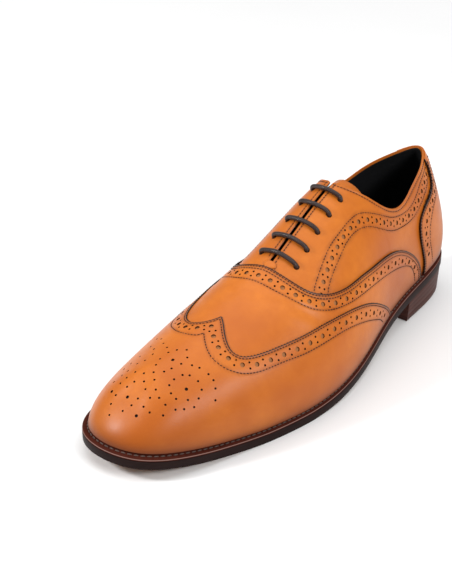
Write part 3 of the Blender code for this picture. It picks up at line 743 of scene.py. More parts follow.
def face_out(piece):
    """Turns an open sheet round if its faces point to the middle of the shoe."""
    count = len(piece.data.polygons)
    centres = np.empty(count * 3)
    normals = np.empty(count * 3)
    piece.data.polygons.foreach_get("center", centres)
    piece.data.polygons.foreach_get("normal", normals)
    from_middle = centres.reshape(-1, 3) * (1, 0, 1) - (0, 0, 0.03)
    if (from_middle * normals.reshape(-1, 3)).sum() < 0:
        edit_all(piece, (bpy.ops.mesh.flip_normals, {}))


def ease(piece, spot, reach):
    """Smooths the skin round a spot, where the grid lines of the toe run together."""
    near = np.linalg.norm(read_points(piece) - place(spot), axis=1) < reach * MM
    make_active(piece)
    bpy.ops.object.mode_set(mode="EDIT")
    bpy.ops.mesh.select_mode(type="VERT")
    bpy.ops.mesh.select_all(action="DESELECT")
    bpy.ops.object.mode_set(mode="OBJECT")
    piece.data.vertices.foreach_set("select", near)
    bpy.ops.object.mode_set(mode="EDIT")
    bpy.ops.mesh.vertices_smooth(factor=0.5, repeat=60)
    bpy.ops.object.mode_set(mode="OBJECT")


def leather_sheet(name, t, h, offset, at=skin, **layers):
    """Welds the halves of a leather piece. The grids hold the outside half and then the inside half."""
    points = at(t, h, offset)
    halves = []
    for number, suffix in enumerate(("", "_inside")):
        own = {layer: values[number] for layer, values in layers.items()}
        halves.append(grid_piece(name + suffix, points[number], **own))
    return weld(halves[0], halves[1:])


def thicken(piece, thickness, inner_material=CALF):
    """Gives a sheet its wall, inwards. A layer named thin pares it down."""
    wall = piece.modifiers.new("wall", "SOLIDIFY")
    wall.thickness = thickness * MM
    wall.offset = -1.0
    wall.material_offset = inner_material
    if "thin" in piece.data.attributes:
        group = piece.vertex_groups.new(name="thin")
        for number, item in enumerate(piece.data.attributes["thin"].data):
            group.add([number], item.value, "REPLACE")
        wall.vertex_group = group.name
        wall.invert_vertex_group = True
        wall.thickness_vertex_group = 0.3
    apply_modifier(piece, wall)


def bar_faces(bars, rings, sides):
    """Faces of closed bars, each of some rings: its sides, the end at the first ring, the end at the last."""
    count = rings * sides
    faces = []
    for start in range(0, bars * count, count):
        for ring in range(start, start + count - sides, sides):
            for k in range(sides):
                m = (k + 1) % sides
                faces.append((ring + k, ring + sides + k, ring + sides + m, ring + m))
        faces.append(tuple(range(start, start + sides)))
        faces.append(tuple(range(start + count - 1, start + count - sides - 1, -1)))
    return faces


def round_bars(centres, axes, radii, bottom, top=1.2, sides=HOLE_SIDES):
    """Points and faces of closed round bars, a row each: its sides, its top and then its bottom."""
    first = unit(np.cross(axes, (0.31, 0.87, 0.38)))
    second = np.cross(axes, first)
    turn = np.linspace(0, math.tau, sides, endpoint=False)
    ring = first[:, None] * np.cos(turn)[None, :, None] + second[:, None] * np.sin(turn)[None, :, None]
    rim = ring * radii[:, None, None]
    upper = centres[:, None] + axes[:, None] * top + rim
    lower = centres[:, None] + axes[:, None] * bottom[:, None, None] + 0.94 * rim
    return np.concatenate([upper, lower], axis=1).reshape(-1, 3), bar_faces(len(centres), 2, sides)


def punch(piece, holes):
    """Cuts holes with one joined cutter. Columns: t, h, offset, radius, depth, wall and floor slot."""
    holes = np.asarray(holes, float)
    centres = skin(holes[:, 0], holes[:, 1], holes[:, 2])
    axes = outward(holes[:, 0], holes[:, 1])
    verts, faces = round_bars(centres, axes, holes[:, 3], -holes[:, 4])
    cutter = new_piece("hole_cutter", verts, faces)
    paint(cutter, *piece.data.materials)
    slots = [[int(wall)] * (HOLE_SIDES + 1) + [int(floor)] for wall, floor in holes[:, 5:7]]
    cutter.data.polygons.foreach_set("material_index", np.concatenate(slots).astype(np.int32))
    edit_all(cutter, TURN_OUT)
    before = len(piece.data.polygons)
    cut = piece.modifiers.new("holes", "BOOLEAN")
    cut.object = cutter
    cut.operation = "DIFFERENCE"
    cut.solver = "MANIFOLD"
    apply_modifier(piece, cut)
    bpy.data.objects.remove(cutter)
    if len(piece.data.polygons) == before:
        raise RuntimeError(f"{piece.name}: the holes were not cut")


def smooth(piece, degrees=38):
    make_active(piece)
    bpy.ops.object.shade_smooth_by_angle(angle=math.radians(degrees))


def paint(piece, *finishes):
    piece.data.materials.clear()
    for finish in finishes:
        piece.data.materials.append(finish)


def dress(piece, slot, *nodes):
    """Puts a finished piece on the shoe in place of its solid."""
    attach(piece, "root")
    if nodes:
        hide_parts(*nodes)


# Finishes.


def new_finish(name):
    """A finish with its node tree and shader, or with None for both where it is made already."""
    finish = bpy.data.materials.get(name)
    if finish:
        return finish, None, None
    finish = bpy.data.materials.new(name)
    finish.use_nodes = True
    return finish, finish.node_tree, finish.node_tree.nodes["Principled BSDF"]


def feed(tree, socket, value):
    """Sets a socket to a value, or links another socket to it."""
    if isinstance(value, bpy.types.NodeSocket):
        tree.links.new(value, socket)
    else:
        socket.default_value = value


def feed_all(tree, node, **inputs):
    """Feeds a node's sockets, by name with _ for a space."""
    for key, value in inputs.items():
        feed(tree, node.inputs[key.replace("_", " ")], value)
    return node


def add_node(tree, kind, settings=(), **inputs):
    node = tree.nodes.new(kind)
    for key, value in dict(settings).items():
        setattr(node, key, value)
    return feed_all(tree, node, **inputs)


def colour_mix(tree, share, first, second):
    node = add_node(tree, "ShaderNodeMix", {"data_type": "RGBA"})
    feed(tree, node.inputs[0], share)
    for number, colour in ((6, first), (7, second)):
        linked = isinstance(colour, bpy.types.NodeSocket)
        feed(tree, node.inputs[number], colour if linked else (*colour, 1.0))
    return node.outputs[2]


def spread(tree, value, low, high, to_low=0.0, to_high=1.0):
    node = add_node(tree, "ShaderNodeMapRange")
    for number, level in enumerate((value, low, high, to_low, to_high)):
        feed(tree, node.inputs[number], level)
    return node.outputs[0]


def arithmetic(tree, operation, first, second):
    node = add_node(tree, "ShaderNodeMath", {"operation": operation})
    feed(tree, node.inputs[0], first)
    feed(tree, node.inputs[1], second)
    return node.outputs[0]


def noise(tree, where, scale, detail=3.0, roughness=0.5):
    node = add_node(tree, "ShaderNodeTexNoise", Scale=scale, Detail=detail, Roughness=roughness, Vector=where)
    return node.outputs["Fac"]


def bump(tree, height, strength, distance=0.0003, **inputs):
    node = add_node(tree, "ShaderNodeBump", Strength=strength, Distance=distance, Height=height, **inputs)
    return node.outputs["Normal"]


def layer(tree, name):
    """A layer that the piece's own mesh holds."""
    return add_node(tree, "ShaderNodeAttribute", {"attribute_name": name}).outputs["Fac"]


def calf_finish(name, tan, deep, burnish_shade_colour, cut):
    """Polished calf: soft clouds of colour, burnished seams and edges, a fine grain under a thin coat. Its
    darker foot and low walls, and the tongue inside the slit, are painted shade.
    """
    finish, tree, shader = new_finish(name)
    if tree is None:
        return finish
    where = add_node(tree, "ShaderNodeTexCoord").outputs["Object"]
    clouds = spread(tree, noise(tree, where, 22.0), 0.35, 0.68)
    mottle = spread(tree, noise(tree, where, 260.0, 4.0), 0.3, 0.75, 0.0, 0.35)
    colour = colour_mix(tree, clouds, tan, deep)
    colour = colour_mix(tree, mottle, colour, deep)
    # Burnish, with painted shade at the foot by the welt and low on the walls.
    colour = colour_mix(tree, layer(tree, "burnish"), colour, burnish_shade_colour)
    # Dyed edges, and painted shade on the tongue inside the slit.
    colour = colour_mix(tree, layer(tree, "dye"), colour, cut)
    polish = spread(tree, noise(tree, where, 70.0, 4.0), 0.3, 0.7, 0.33, 0.43)
    pores = add_node(tree, "ShaderNodeTexVoronoi", Scale=1500.0, Vector=where).outputs["Distance"]
    fine = bump(tree, pores, 0.10, 0.0002)
    grain = bump(tree, noise(tree, where, 900.0, 5.0, 0.6), 0.16, Normal=fine)
    feed_all(
        tree, shader, Base_Color=colour, Roughness=polish, Specular_IOR_Level=0.22,
        Coat_Weight=0.03, Coat_Roughness=0.24, Normal=grain,
    )
    return finish


def fibre_finish(name, colour, lift, roughness, scale, relief=0.3, stretch=(1, 1, 1), glint_colour=None, gloss=0.18):
    """Dyed fibre, mottled with the same colour lifted. The stretch draws the mottling out into streaks.

    A painted highlight colour shows where the piece's wear layer says so.
    """
    finish, tree, shader = new_finish(name)
    if tree is None:
        return finish
    where = add_node(tree, "ShaderNodeTexCoord").outputs["Object"]
    drawn = add_node(tree, "ShaderNodeMapping", Vector=where, Scale=stretch).outputs["Vector"]
    mottle = noise(tree, drawn, scale, 5.0, 0.6)
    shade = colour_mix(tree, spread(tree, mottle, 0.3, 0.75), colour, scaled(colour, lift))
    if glint_colour is not None:
        shade = colour_mix(tree, layer(tree, "wear"), shade, glint_colour)
    uneven = spread(tree, mottle, 0.3, 0.7, roughness - 0.06, roughness + 0.08)
    feed_all(
        tree, shader, Base_Color=shade, Roughness=uneven, Specular_IOR_Level=gloss,
        Coat_Weight=0.0, Coat_Roughness=0.3, Normal=bump(tree, mottle, relief),
    )
    return finish


def lace_finish(colour):
    """Waxed round braid, from the lace's own layers: along in mm and around in turns."""
    finish, tree, shader = new_finish("waxed_braid")
    if tree is None:
        return finish
    run = arithmetic(tree, "MULTIPLY", layer(tree, "along"), 0.8)
    strands = []
    for turns in (4.0, -4.0):
        around = arithmetic(tree, "MULTIPLY", layer(tree, "around"), turns)
        strands.append(arithmetic(tree, "PINGPONG", arithmetic(tree, "ADD", around, run), 0.5))
    weave = arithmetic(tree, "MAXIMUM", *strands)
    # Painted shade and highlight: the braid's grooves are painted darker and its strands lighter.
    shade = colour_mix(tree, spread(tree, weave, 0.15, 0.5), scaled(colour, 0.6), scaled(colour, 2.2))
    feed_all(
        tree, shader, Base_Color=shade, Roughness=0.38, Specular_IOR_Level=0.3, Coat_Weight=0.1,
        Normal=bump(tree, weave, 0.6),
    )
    return finish


def scaled(colour, factor):
    return tuple(min(level * factor, 1.0) for level in colour)


def leather_finishes():
    """Calf, dyed edge that also paints shade in the pin holes, hole floor and hole wall, in the order of the
    material slots.
    """
    hue = bpy.context.scene.shoe_colours
    return (
        calf_finish("tan_calf", hue.tan, hue.deep_tan, hue.burnish, hue.cut_edge_and_shade),
        fibre_finish("dyed_edge", hue.cut_edge_and_shade, 2.2, 0.6, 900.0),
        fibre_finish("hole_floor", hue.hole_floor, 1.4, 0.6, 900.0),
        fibre_finish("hole_wall", hue.hole_wall, 1.6, 0.6, 900.0),
    )


def lining_finish():
    return fibre_finish("black_lining", bpy.context.scene.shoe_colours.lining, 2.0, 0.62, 700.0, 0.25)


def finish_leather(piece, node, thickness, holes=(), lining=()):
    """Paints a leather sheet, gives it its wall and holes, and puts it on the shoe."""
    paint(piece, *leather_finishes(), *lining)
    thicken(piece, thickness, LINING if lining else CALF)
    if holes:
        punch(piece, holes)
    smooth(piece)
    dress(piece, "tan_leather", node)


# Patterns shared by the pieces and their stitching.


@lru_cache(maxsize=None)
def collar_line():
    """The quarters' free edge, from the foot of the slit to the back of the heel."""
    t = np.concatenate(
        [np.arange(SLIT_FOOT + 1, 203, 0.5), np.arange(203, 222, 0.3), np.arange(222, BACK, 0.6), [BACK]]
    )
    return np.column_stack([t, upper_top(t)])


@lru_cache(maxsize=None)
def stitch_lines(piece, side):
    """Pattern lines sewn on one half of a piece."""
    if piece == "wing_cap":
        inner = aside(dense(WING_EDGE[side]), -WING_SEAM, side)
        return [meet_ridge(inner, WING_PEAK - 1.7 * WING_SEAM), dense(WING_LOW[side])]
    if piece == "vamp":
        edge = dense(VAMP_EDGE)
        inner = [meet_ridge(aside(edge, -away, side), VAMP_CENTRE - away) for away in VAMP_SEAMS]
        return [*inner, dense(VAMP_LOW)]
    if piece == "heel_counter":
        lines = aside(dense(COUNTER_EDGE), -COUNTER_SEAM, side), dense(COUNTER_IN)
        top = collar_line()
        return [line[line[:, 1] < np.interp(line[:, 0], *top.T) - COUNTER_DROP - 0.02] for line in lines]
    edge = collar_line()
    facing = edge[edge[:, 0] > SLIT_FOOT + 3]
    lines = [aside(facing, -FACING_SEAM, side), dense(BAND_TOP), dense(BAND_LOW)]
    if side > 0:
        lines.append(dense(SLIT_SEAM, 60))
    return lines


def sewn(piece, offset):
    """All points of a piece's stitch lines, on both halves."""
    return np.concatenate(
        [on_skin(line, offset, side) for side in SIDES for line in stitch_lines(piece, side)]
    )


def both_sides(lines, offset):
    """Points of two pattern lines on the last, the outside one and then the inside one."""
    return np.concatenate([on_skin(line, offset, side) for side, line in zip(SIDES, lines)])


def band_middle(inner, low, offset, side):
    """Line midway between two stitch lines, smoothed where they bend apart."""
    tree = search_tree(on_skin(low, offset, side))
    nearest = [tree.find(point)[1] for point in on_skin(inner, offset, side)]
    middle = 0.5 * (inner + low[nearest])
    padded = np.pad(middle, ((25, 25), (0, 0)), mode="reflect", reflect_type="odd")
    soft = np.ones(51) / 51
    return np.column_stack([np.convolve(padded[:, k], soft, mode="valid") for k in (0, 1)])


def band_holes(inner, low, offset, side, ridge=False):
    """Round holes down the middle of a band, with a pair of pin holes between each two.

    A band that crosses the ridge has a round hole there, which the outside half takes, and its pitch
    grows towards the heel.
    """
    sizes = bpy.context.scene.shoe_sizes
    middle = band_middle(inner, low, offset, side)
    run = run_length(on_skin(middle, offset, side))
    step = sizes.hole_pitch / 2
    growth = BAND_GROWTH / run[-1] if ridge else 1e-6
    at = np.expm1(growth * (np.arange(0 if ridge else 0.6 * step, run[-1], step))) / growth
    at = at[at < run[-1] - 0.5 * step]
    big = at[0::2]
    if ridge and side < 0:
        big = big[1:]
    round_hole = offset, sizes.hole_round / 2, sizes.hole_depth, HOLE_WALL, HOLE_FLOOR
    # Pin holes take the dyed edge finish on their walls, and on their floors as painted shade.
    pin_hole = offset, sizes.hole_pin / 2, sizes.pin_depth, EDGE_AND_SHADE_SLOT, EDGE_AND_SHADE_SLOT
    rows = [(middle, big, round_hole)]
    rows += [(aside(middle, reach, side), at[1::2], pin_hole) for reach in (PIN_REACH, -PIN_REACH)]
    return [(side * t, h, *hole) for line, spots, hole in rows for t, h in read_line(line, run, spots)]


def trimmed(line, level):
    """The part of a pattern line above a level."""
    return line[line[:, 1] > level]


def medallion_holes(offset):
    """Finds the medallion's chart on the toe."""
    sizes = bpy.context.scene.shoe_sizes
    t, h = np.meshgrid(np.linspace(-115, 115, 461), np.linspace(0.35, 1, 131), indexing="ij")
    tree = search_tree(skin(t, h, offset).reshape(-1, 3) * (1, 1, 0))
    centre = np.vstack([RIDGE[4::-1, :2], OUTSIDE[:1]])
    widths = sizes.hole_pin, MEDALLION_WIDE * sizes.hole_round
    holes = []
    for chart, wide in zip((MEDALLION_PINS, MEDALLION_ROUNDS), widths):
        # These holes take the dyed edge finish on their walls, and on their floors as painted shade.
        hole = offset, wide / 2, sizes.pin_depth, EDGE_AND_SHADE_SLOT, EDGE_AND_SHADE_SLOT
        for s, reach in chart:
            number = tree.find((np.interp(s, centre[:, 1], centre[:, 0]) + reach, s, 0))[1]
            holes.append((t.flat[number], h.flat[number], *hole))
    return holes


def seam_layers(spots, edge_line, seams, round_edge=0.15):
    """Offset, burnish and dye of a leather piece: rolled dyed edge, sunk seams, darker toe, and a darker foot
    and low walls that are partly painted shade.
    """
    from_edge_mm = distance_to(spots, edge_line)
    from_seam = distance_to(spots, seams)
    roll = 0.4 + 0.7 * round_edge
    offset = -round_edge * np.clip(1 - from_edge_mm / roll, 0, 1) ** 2
    offset = offset - SEAM_DEPTH * np.exp(-((from_seam / SEAM_WIDE) ** 2))
    over_foot = np.maximum(spots[..., 2] - tread(spots[..., 1]) - OUTSOLE - WELT, 0)
    toe = np.clip((spots[..., 1] - TOE_START) / TOE_GROWTH, 0, 1) ** 2
    darkening = EDGE_BURNISH[0] * np.exp(-from_edge_mm / EDGE_BURNISH[1])
    darkening = np.maximum(darkening, SEAM_BURNISH[0] * np.exp(-((from_seam / SEAM_BURNISH[1]) ** 2)))
    # Painted shade, partly burnish: the foot by the welt is darkened, as the crevice there is in shadow.
    darkening = np.maximum(darkening, FOOT_SHADE_AND_BURNISH[0] * np.exp(-over_foot / FOOT_SHADE_AND_BURNISH[1]))
    # Painted shade, partly burnish: darker low on the walls, more so on the toe.
    darkening = darkening + (WALL_SHADE_AND_BURNISH[0] + TOE_BURNISH * toe) * np.exp(-over_foot / WALL_SHADE_AND_BURNISH[1])
    return offset, np.clip(darkening, 0, 1), np.clip((DYE_WIDE - from_edge_mm) / DYE_SOFT, 0, 1)


def crease_depth(spots, offset):
    """Soft troughs, each with a low ridge beside it."""
    depth = np.zeros(spots.shape[:-1])
    for t_a, h_a, t_b, h_b, deep, wide in CREASES:
        share = np.linspace(0, 1, 60)
        for side in SIDES:
            line = skin(side * (t_a + (t_b - t_a) * share), h_a + (h_b - h_a) * share, offset)
            away = distance_to(spots, line)
            depth -= deep * np.exp(-((away / wide) ** 2))
            depth += 0.5 * deep * np.exp(-(((away - 2 * wide) / wide) ** 2))
    return depth


# Operators, one for each piece.


class SHOE_OT_quarters(bpy.types.Operator):
    """Quarters on the last, with facings, punched eyelets, a brogue band and a black lining"""

    bl_idname = "shoe.quarters"
    bl_label = "Quarters"

    def execute(self, context):
        sizes = context.scene.shoe_sizes
        columns = np.concatenate(
            [
                np.arange(0, 110, 3.0), np.arange(110, SLIT_FOOT, 1.5), [SLIT_FOOT], np.arange(146, 203, 1.0),
                np.arange(203, 222, 0.6), np.arange(222, BACK - 0.5, 1.2), [BACK],
            ]
        )
        edge = np.column_stack([columns, upper_top(columns)])
        foot = np.column_stack([columns, np.zeros(len(columns))])
        t, h = mirrored(from_edge(edge, foot, FACING_ROWS, FAR_ROWS["quarters"], np.zeros(len(columns))))
        spots = skin(t, h, 0.0)
        free_edge = both_sides((collar_line(), collar_line()), 0.0)
        offset, darkening, _ = seam_layers(spots, free_edge, sewn("quarters", 0.0), 0.6)
        # The folded edge of each facing stands up in a low bead.
        from_bead = distance_to(spots, free_edge) - BEAD_AT
        bead = BEAD_HEIGHT * np.exp(-((from_bead / BEAD_WIDE) ** 2))
        offset += bead + crease_depth(spots, 0.0) * (np.abs(t) > 225)
        eyelet_hole = 0.0, sizes.eyelet_width / 2, 2 * WALL, EDGE_AND_SHADE_SLOT, EDGE_AND_SHADE_SLOT
        holes = []
        for side in SIDES:
            holes += band_holes(dense(BAND_TOP), dense(BAND_LOW), 0.0, side)
            holes += [(*eyelet(number, side), *eyelet_hole) for number in range(len(EYELETS))]
        piece = leather_sheet("quarters", t, h, offset, burnish=darkening)
        finish_leather(piece, "upper", WALL, holes, [lining_finish()])
        return {"FINISHED"}


class SHOE_OT_vamp(bpy.types.Operator):
    """Vamp with its gimped wing-shaped top edge and brogue band"""

    bl_idname = "shoe.vamp"
    bl_label = "Vamp"

    def execute(self, context):
        sizes = context.scene.shoe_sizes
        lean = 1.4
        top = dense(VAMP_EDGE, VAMP_COLUMNS)
        top[0] = VAMP_CENTRE, 1.0
        share = np.linspace(0, 1, len(top))
        front = np.arange(WING_PEAK - CAP_OVER_VAMP + 1.5, VAMP_CENTRE, 1.2)
        edge = np.concatenate([np.column_stack([front, np.ones(len(front))]), top])
        # The low end follows the wing's edge, tucked under it, and then the sole. On the scale of the
        # columns the vamp's centre, the end of the tuck and the end of the edge are:
        centre, tuck, end = 7, 19, 27
        column = centre + (end - centre) * share ** (1 / lean)
        column = np.append(np.linspace(0, centre, len(front), endpoint=False), column)
        tail = np.clip((column - tuck) / (end - tuck), 0, 1)
        halves, holes = [], []
        for side in SIDES:
            under_wing = aside(dense(WING_EDGE[side], WING_COLUMNS), -CAP_OVER_VAMP, side)
            under_wing = meet_ridge(under_wing, WING_PEAK - 2 * CAP_OVER_VAMP)
            at = np.clip(column / tuck, 0, 1) ** lean * (len(under_wing) - 1)
            low = read_line(under_wing, np.arange(len(under_wing)), at)
            low[:, 0] += tail * (VAMP_EDGE[-1][0] - low[:, 0])
            foot = climb_to(side * low[:, 0], over_welt, VAMP_OUTER)
            low[:, 1] = np.where(column > tuck, foot, np.maximum(low[:, 1], foot))
            lowest = climb_to(side * edge[:, 0], over_welt, VAMP_OUTER) + LEAST_RISE
            high = np.column_stack([edge[:, 0], np.maximum(edge[:, 1], lowest)])
            bite = np.zeros(len(edge))
            bite[len(front) :] = teeth(top, VAMP_OUTER, sizes.tooth_pitch, sizes.tooth_depth, side)
            halves.append(from_edge(high, low, NEAR_ROWS, FAR_ROWS["vamp"], bite, side))
            _, inner, outer = stitch_lines("vamp", side)
            holes += band_holes(trimmed(inner, 0.07), outer, VAMP_OUTER, side, ridge=True)
        t, h = np.stack(halves, axis=1)
        spots = skin(t, h, VAMP_OUTER)
        edge_line = both_sides((dense(VAMP_EDGE), dense(VAMP_EDGE)), VAMP_OUTER)
        offset, darkening, dye = seam_layers(spots, edge_line, sewn("vamp", VAMP_OUTER))
        offset += crease_depth(spots, VAMP_OUTER)
        piece = leather_sheet("vamp_calf", t, h, VAMP_OUTER + offset, burnish=darkening, dye=dye)
        finish_leather(piece, "vamp", VAMP_OUTER - LAID_GAP, holes)
        return {"FINISHED"}


class SHOE_OT_wing_cap(bpy.types.Operator):
    """Wing cap with its gimped peak, brogue band and toe medallion"""

    bl_idname = "shoe.wing_cap"
    bl_label = "Wing cap"

    def execute(self, context):
        sizes = context.scene.shoe_sizes
        crest = ridge_stations(WING_PEAK, 75)
        halves, holes = [], medallion_holes(CAP_OUTER)
        for side in SIDES:
            top = dense(WING_EDGE[side], WING_COLUMNS)
            top[0] = WING_PEAK, 1.0
            edge = np.concatenate([np.column_stack([crest, np.ones(len(crest))]), top])
            base = np.interp(np.linspace(0, 1, len(top)), *zip(*WING_FOOT))
            base = np.concatenate([base[0] * np.arange(len(crest)) / len(crest), base])
            past_peak = np.linspace(0, 1, len(top)) / 0.11
            lean = np.concatenate([(crest / WING_PEAK) ** 2, np.exp(-(past_peak**2))])
            low = np.column_stack([base, climb_to(side * base, over_welt, CAP_OUTER)])
            lowest = climb_to(side * edge[:, 0], over_welt, CAP_OUTER) + LEAST_RISE
            edge[:, 1] = np.maximum(edge[:, 1], lowest)
            bite = np.zeros(len(edge))
            bite[len(crest) :] = teeth(top, CAP_OUTER, sizes.tooth_pitch, sizes.tooth_depth, side)
            rows = NEAR_ROWS, FAR_ROWS["wing_cap"]
            halves.append(from_edge(edge, low, *rows, bite, side, 1 + 2 * lean))
            inner, outer = stitch_lines("wing_cap", side)
            holes += band_holes(trimmed(inner, 0.09), outer, CAP_OUTER, side, ridge=True)
        t, h = np.stack(halves, axis=1)
        spots = skin(t, h, CAP_OUTER)
        edge_line = both_sides([dense(WING_EDGE[side]) for side in SIDES], CAP_OUTER)
        offset, darkening, dye = seam_layers(spots, edge_line, sewn("wing_cap", CAP_OUTER))
        thin = np.clip((CAP_OVER_VAMP + 2.0 - distance_to(spots, edge_line)) / 1.5, 0, 1)
        piece = leather_sheet(
            "wing_cap_calf", t, h, CAP_OUTER + offset, burnish=darkening, dye=dye, thin=thin
        )
        ease(piece, skin(np.zeros(1), np.ones(1), np.full(1, CAP_OUTER))[0], 6.0)
        finish_leather(piece, "wing_cap", CAP_OUTER - LAID_GAP, holes)
        return {"FINISHED"}


class SHOE_OT_heel_counter(bpy.types.Operator):
    """Heel counter with a gimped front edge and brogue band"""

    bl_idname = "shoe.heel_counter"
    bl_label = "Heel counter"

    def execute(self, context):
        sizes = context.scene.shoe_sizes
        edge = along(COUNTER_EDGE, np.linspace(0.02, 1, COUNTER_COLUMNS))
        foot = climb_to(edge[:, 0], over_welt, COUNTER_OUTER)
        top = climb_to(edge[:, 0], over_collar) - COUNTER_DROP
        inside = (edge[:, 1] > foot) & (edge[:, 1] < top)
        level = ((edge[:, 1] - foot) / (top - foot))[inside]
        level = (level - level[0]) / (level[-1] - level[0])
        edge = edge[inside]
        back = np.full(len(edge), BACK)
        back_foot = climb_to(back[:1], over_welt, COUNTER_OUTER)[0]
        back_top = climb_to(back[:1], over_collar)[0] - COUNTER_DROP
        far = np.column_stack([back, back_foot + (back_top - back_foot) * level])
        bite = teeth(edge, COUNTER_OUTER, sizes.tooth_pitch, sizes.tooth_depth)
        grid_t, grid_h = from_edge(edge, far, NEAR_ROWS[:12], FAR_ROWS["heel_counter"], bite)
        foot = climb_to(grid_t[0], over_welt, COUNTER_OUTER)
        top = climb_to(grid_t[-1], over_collar) - COUNTER_DROP
        level = level[:, None]
        grid_h = grid_h + (1 - level) * (foot - grid_h[0])[None] + level * (top - grid_h[-1])[None]
        t, h = mirrored((grid_t, grid_h))
        spots = skin(t, h, COUNTER_OUTER)
        edge_line = both_sides((edge, edge), COUNTER_OUTER)
        offset, darkening, dye = seam_layers(spots, edge_line, sewn("heel_counter", COUNTER_OUTER))
        # The leather is pared thin where it runs out under the collar's edge.
        offset -= 0.8 * np.clip((level - 0.92) / 0.08, 0, 1)[None]
        piece = leather_sheet("heel_counter_calf", t, h, COUNTER_OUTER + offset, burnish=darkening, dye=dye)
        holes = []
        for side in SIDES:
            inner, outer = stitch_lines("heel_counter", side)
            holes += band_holes(trimmed(inner, 0.12), outer, COUNTER_OUTER, side)
        finish_leather(piece, "heel_counter", 0.7 * (COUNTER_OUTER - LAID_GAP), holes)
        return {"FINISHED"}


class SHOE_OT_tongue(bpy.types.Operator):
    """Unlined tongue with a pinked top edge, painted dark as shade where the facings cover it"""

    bl_idname = "shoe.tongue"
    bl_label = "Tongue"

    def execute(self, context):
        sizes = context.scene.shoe_sizes
        across = np.linspace(0, 1, 110)
        edge = np.column_stack([TONGUE_TOP + TONGUE_CREST * (1 - across**2), 1 - 0.34 * across])
        foot = np.column_stack([np.full(len(across), TONGUE_FOOT), 1 - 0.20 * across])
        bite = teeth(edge, TONGUE_OUTER, TONGUE_TOOTH_PITCH, sizes.tooth_depth)
        grid_t, _ = from_edge(edge, foot, NEAR_ROWS[:7], FAR_ROWS["tongue"], bite)
        wide = np.interp(grid_t, *zip(*TONGUE_EDGE))
        t, h = mirrored((grid_t, 1 - (1 - wide) * across[:, None]))
        spots = sunk(t, h, TONGUE_OUTER)
        edge_line = np.concatenate([sunk(side * edge[:, 0], edge[:, 1], TONGUE_OUTER) for side in SIDES])
        from_top = distance_to(spots, edge_line)
        offset = TONGUE_OUTER - 0.45 * np.clip(1 - from_top / 0.8, 0, 1) ** 2
        swell = np.interp(np.abs(t), *zip(*TONGUE_SWELL))
        offset = offset + TONGUE_LIFT * swell * np.exp(-(((1 - h) / 0.1) ** 2))
        darkening = 0.5 * np.exp(-from_top / 3)
        # Painted shade: where the facings cover the tongue it is darkened, as it lies in the slit's shadow.
        slit_shade = np.clip((TONGUE_COVERED - np.abs(t)) / 3, 0, 1)
        piece = leather_sheet("tongue_calf", t, h, offset, sunk, burnish=darkening, dye=slit_shade)
        finish_leather(piece, "tongue", TONGUE_THICK)
        return {"FINISHED"}


class SHOE_OT_throat_tab(bpy.types.Operator):
    """Small leather tab that closes the foot of the slit"""

    bl_idname = "shoe.throat_tab"
    bl_label = "Throat tab"

    def execute(self, context):
        turn = np.linspace(0, math.tau, 49)[:, None]
        ring = np.array((0.03, 0.3, 0.55, 0.75, 0.88, 0.96, 1.0))[None]
        across = TAB_ASIDE + np.cos(turn) * ring * TAB_WIDTH / 2
        t = TAB_CENTRE + np.sin(turn) * ring * TAB_LENGTH / 2
        h = 1 - np.abs(across) / SECTION_LENGTH
        rounded = TAB_HEIGHT * np.sqrt(np.clip(1.02 - ring**6, 0, 1)) + 0 * turn
        piece = grid_piece(
            "throat_tab", skin(np.where(across > 0, t, -t), h, rounded), burnish=0.4 * ring**8 + 0 * turn
        )
        weld(piece)
        edit_all(piece, (bpy.ops.mesh.fill_holes, {"sides": 60}))
        paint(piece, *leather_finishes())
        smooth(piece, 50)
        dress(piece, "tan_leather")
        return {"FINISHED"}


def plan_sheet(name, outer, inner, height, rows):
    """Sheet that fills an outline, given as its outside and inside half (x, s)."""
    share = np.linspace(0, 1, rows)[None, :, None]
    plan = outer[:, None] * (1 - share) + inner[:, None] * share
    points = np.concatenate([plan, height(plan[..., 1])[..., None]], axis=2)
    return weld(grid_piece(name, points), closed=True)


def drop_sides(piece, depth):
    """Extrudes a flat sheet straight down into a slab."""
    down = {"TRANSFORM_OT_translate": {"value": (0, 0, -depth * MM)}}
    edit_all(piece, (bpy.ops.mesh.extrude_region_move, down), TURN_OUT)


def soften(piece, width, segments=3):
    edge = piece.modifiers.new("edge", "BEVEL")
    edge.width = width * MM
    edge.segments = segments
    edge.limit_method = "ANGLE"
    edge.angle_limit = math.radians(50)
    apply_modifier(piece, edge)


class SHOE_OT_insole(bpy.types.Operator):
    """Black insole cover inside the shoe"""

    bl_idname = "shoe.insole"
    bl_label = "Insole"

    def execute(self, context):
        t = np.linspace(0, BACK, 180)
        piece = plan_sheet(
            "insole_cover",
            foot_edge(t, -INSOLE_INSET),
            foot_edge(-t, -INSOLE_INSET),
            lambda s: tread(s) + OUTSOLE + GAP + INSOLE,
            25,
        )
        drop_sides(piece, INSOLE)
        soften(piece, 0.8)
        paint(piece, lining_finish())
        smooth(piece)
        dress(piece, "insole_cover", "insole")
        return {"FINISHED"}


class SHOE_OT_welt(bpy.types.Operator):
    """Welt round the shoe: sloped top with a sunk seam line and a rounded outer edge"""

    bl_idname = "shoe.welt"
    bl_label = "Welt"

    def execute(self, context):
        hue = context.scene.shoe_colours
        around = np.linspace(0, 2 * BACK, 640)
        ring = welt_profile(around)
        # Painted highlight: the welt's outer corner is marked for the lighter glint colour.
        wear = np.zeros(ring.shape[:2])
        wear[:, WELT_CORNER] = 1.0
        piece = weld(grid_piece("welt_strip", ring, wear=wear), closed=True)
        paint(piece, fibre_finish("dyed_welt", hue.welt, 1.6, 0.45, 500.0, glint_colour=hue.welt_glint, gloss=0.01))
        smooth(piece, 50)
        dress(piece, "welt_leather", "welt")
        return {"FINISHED"}


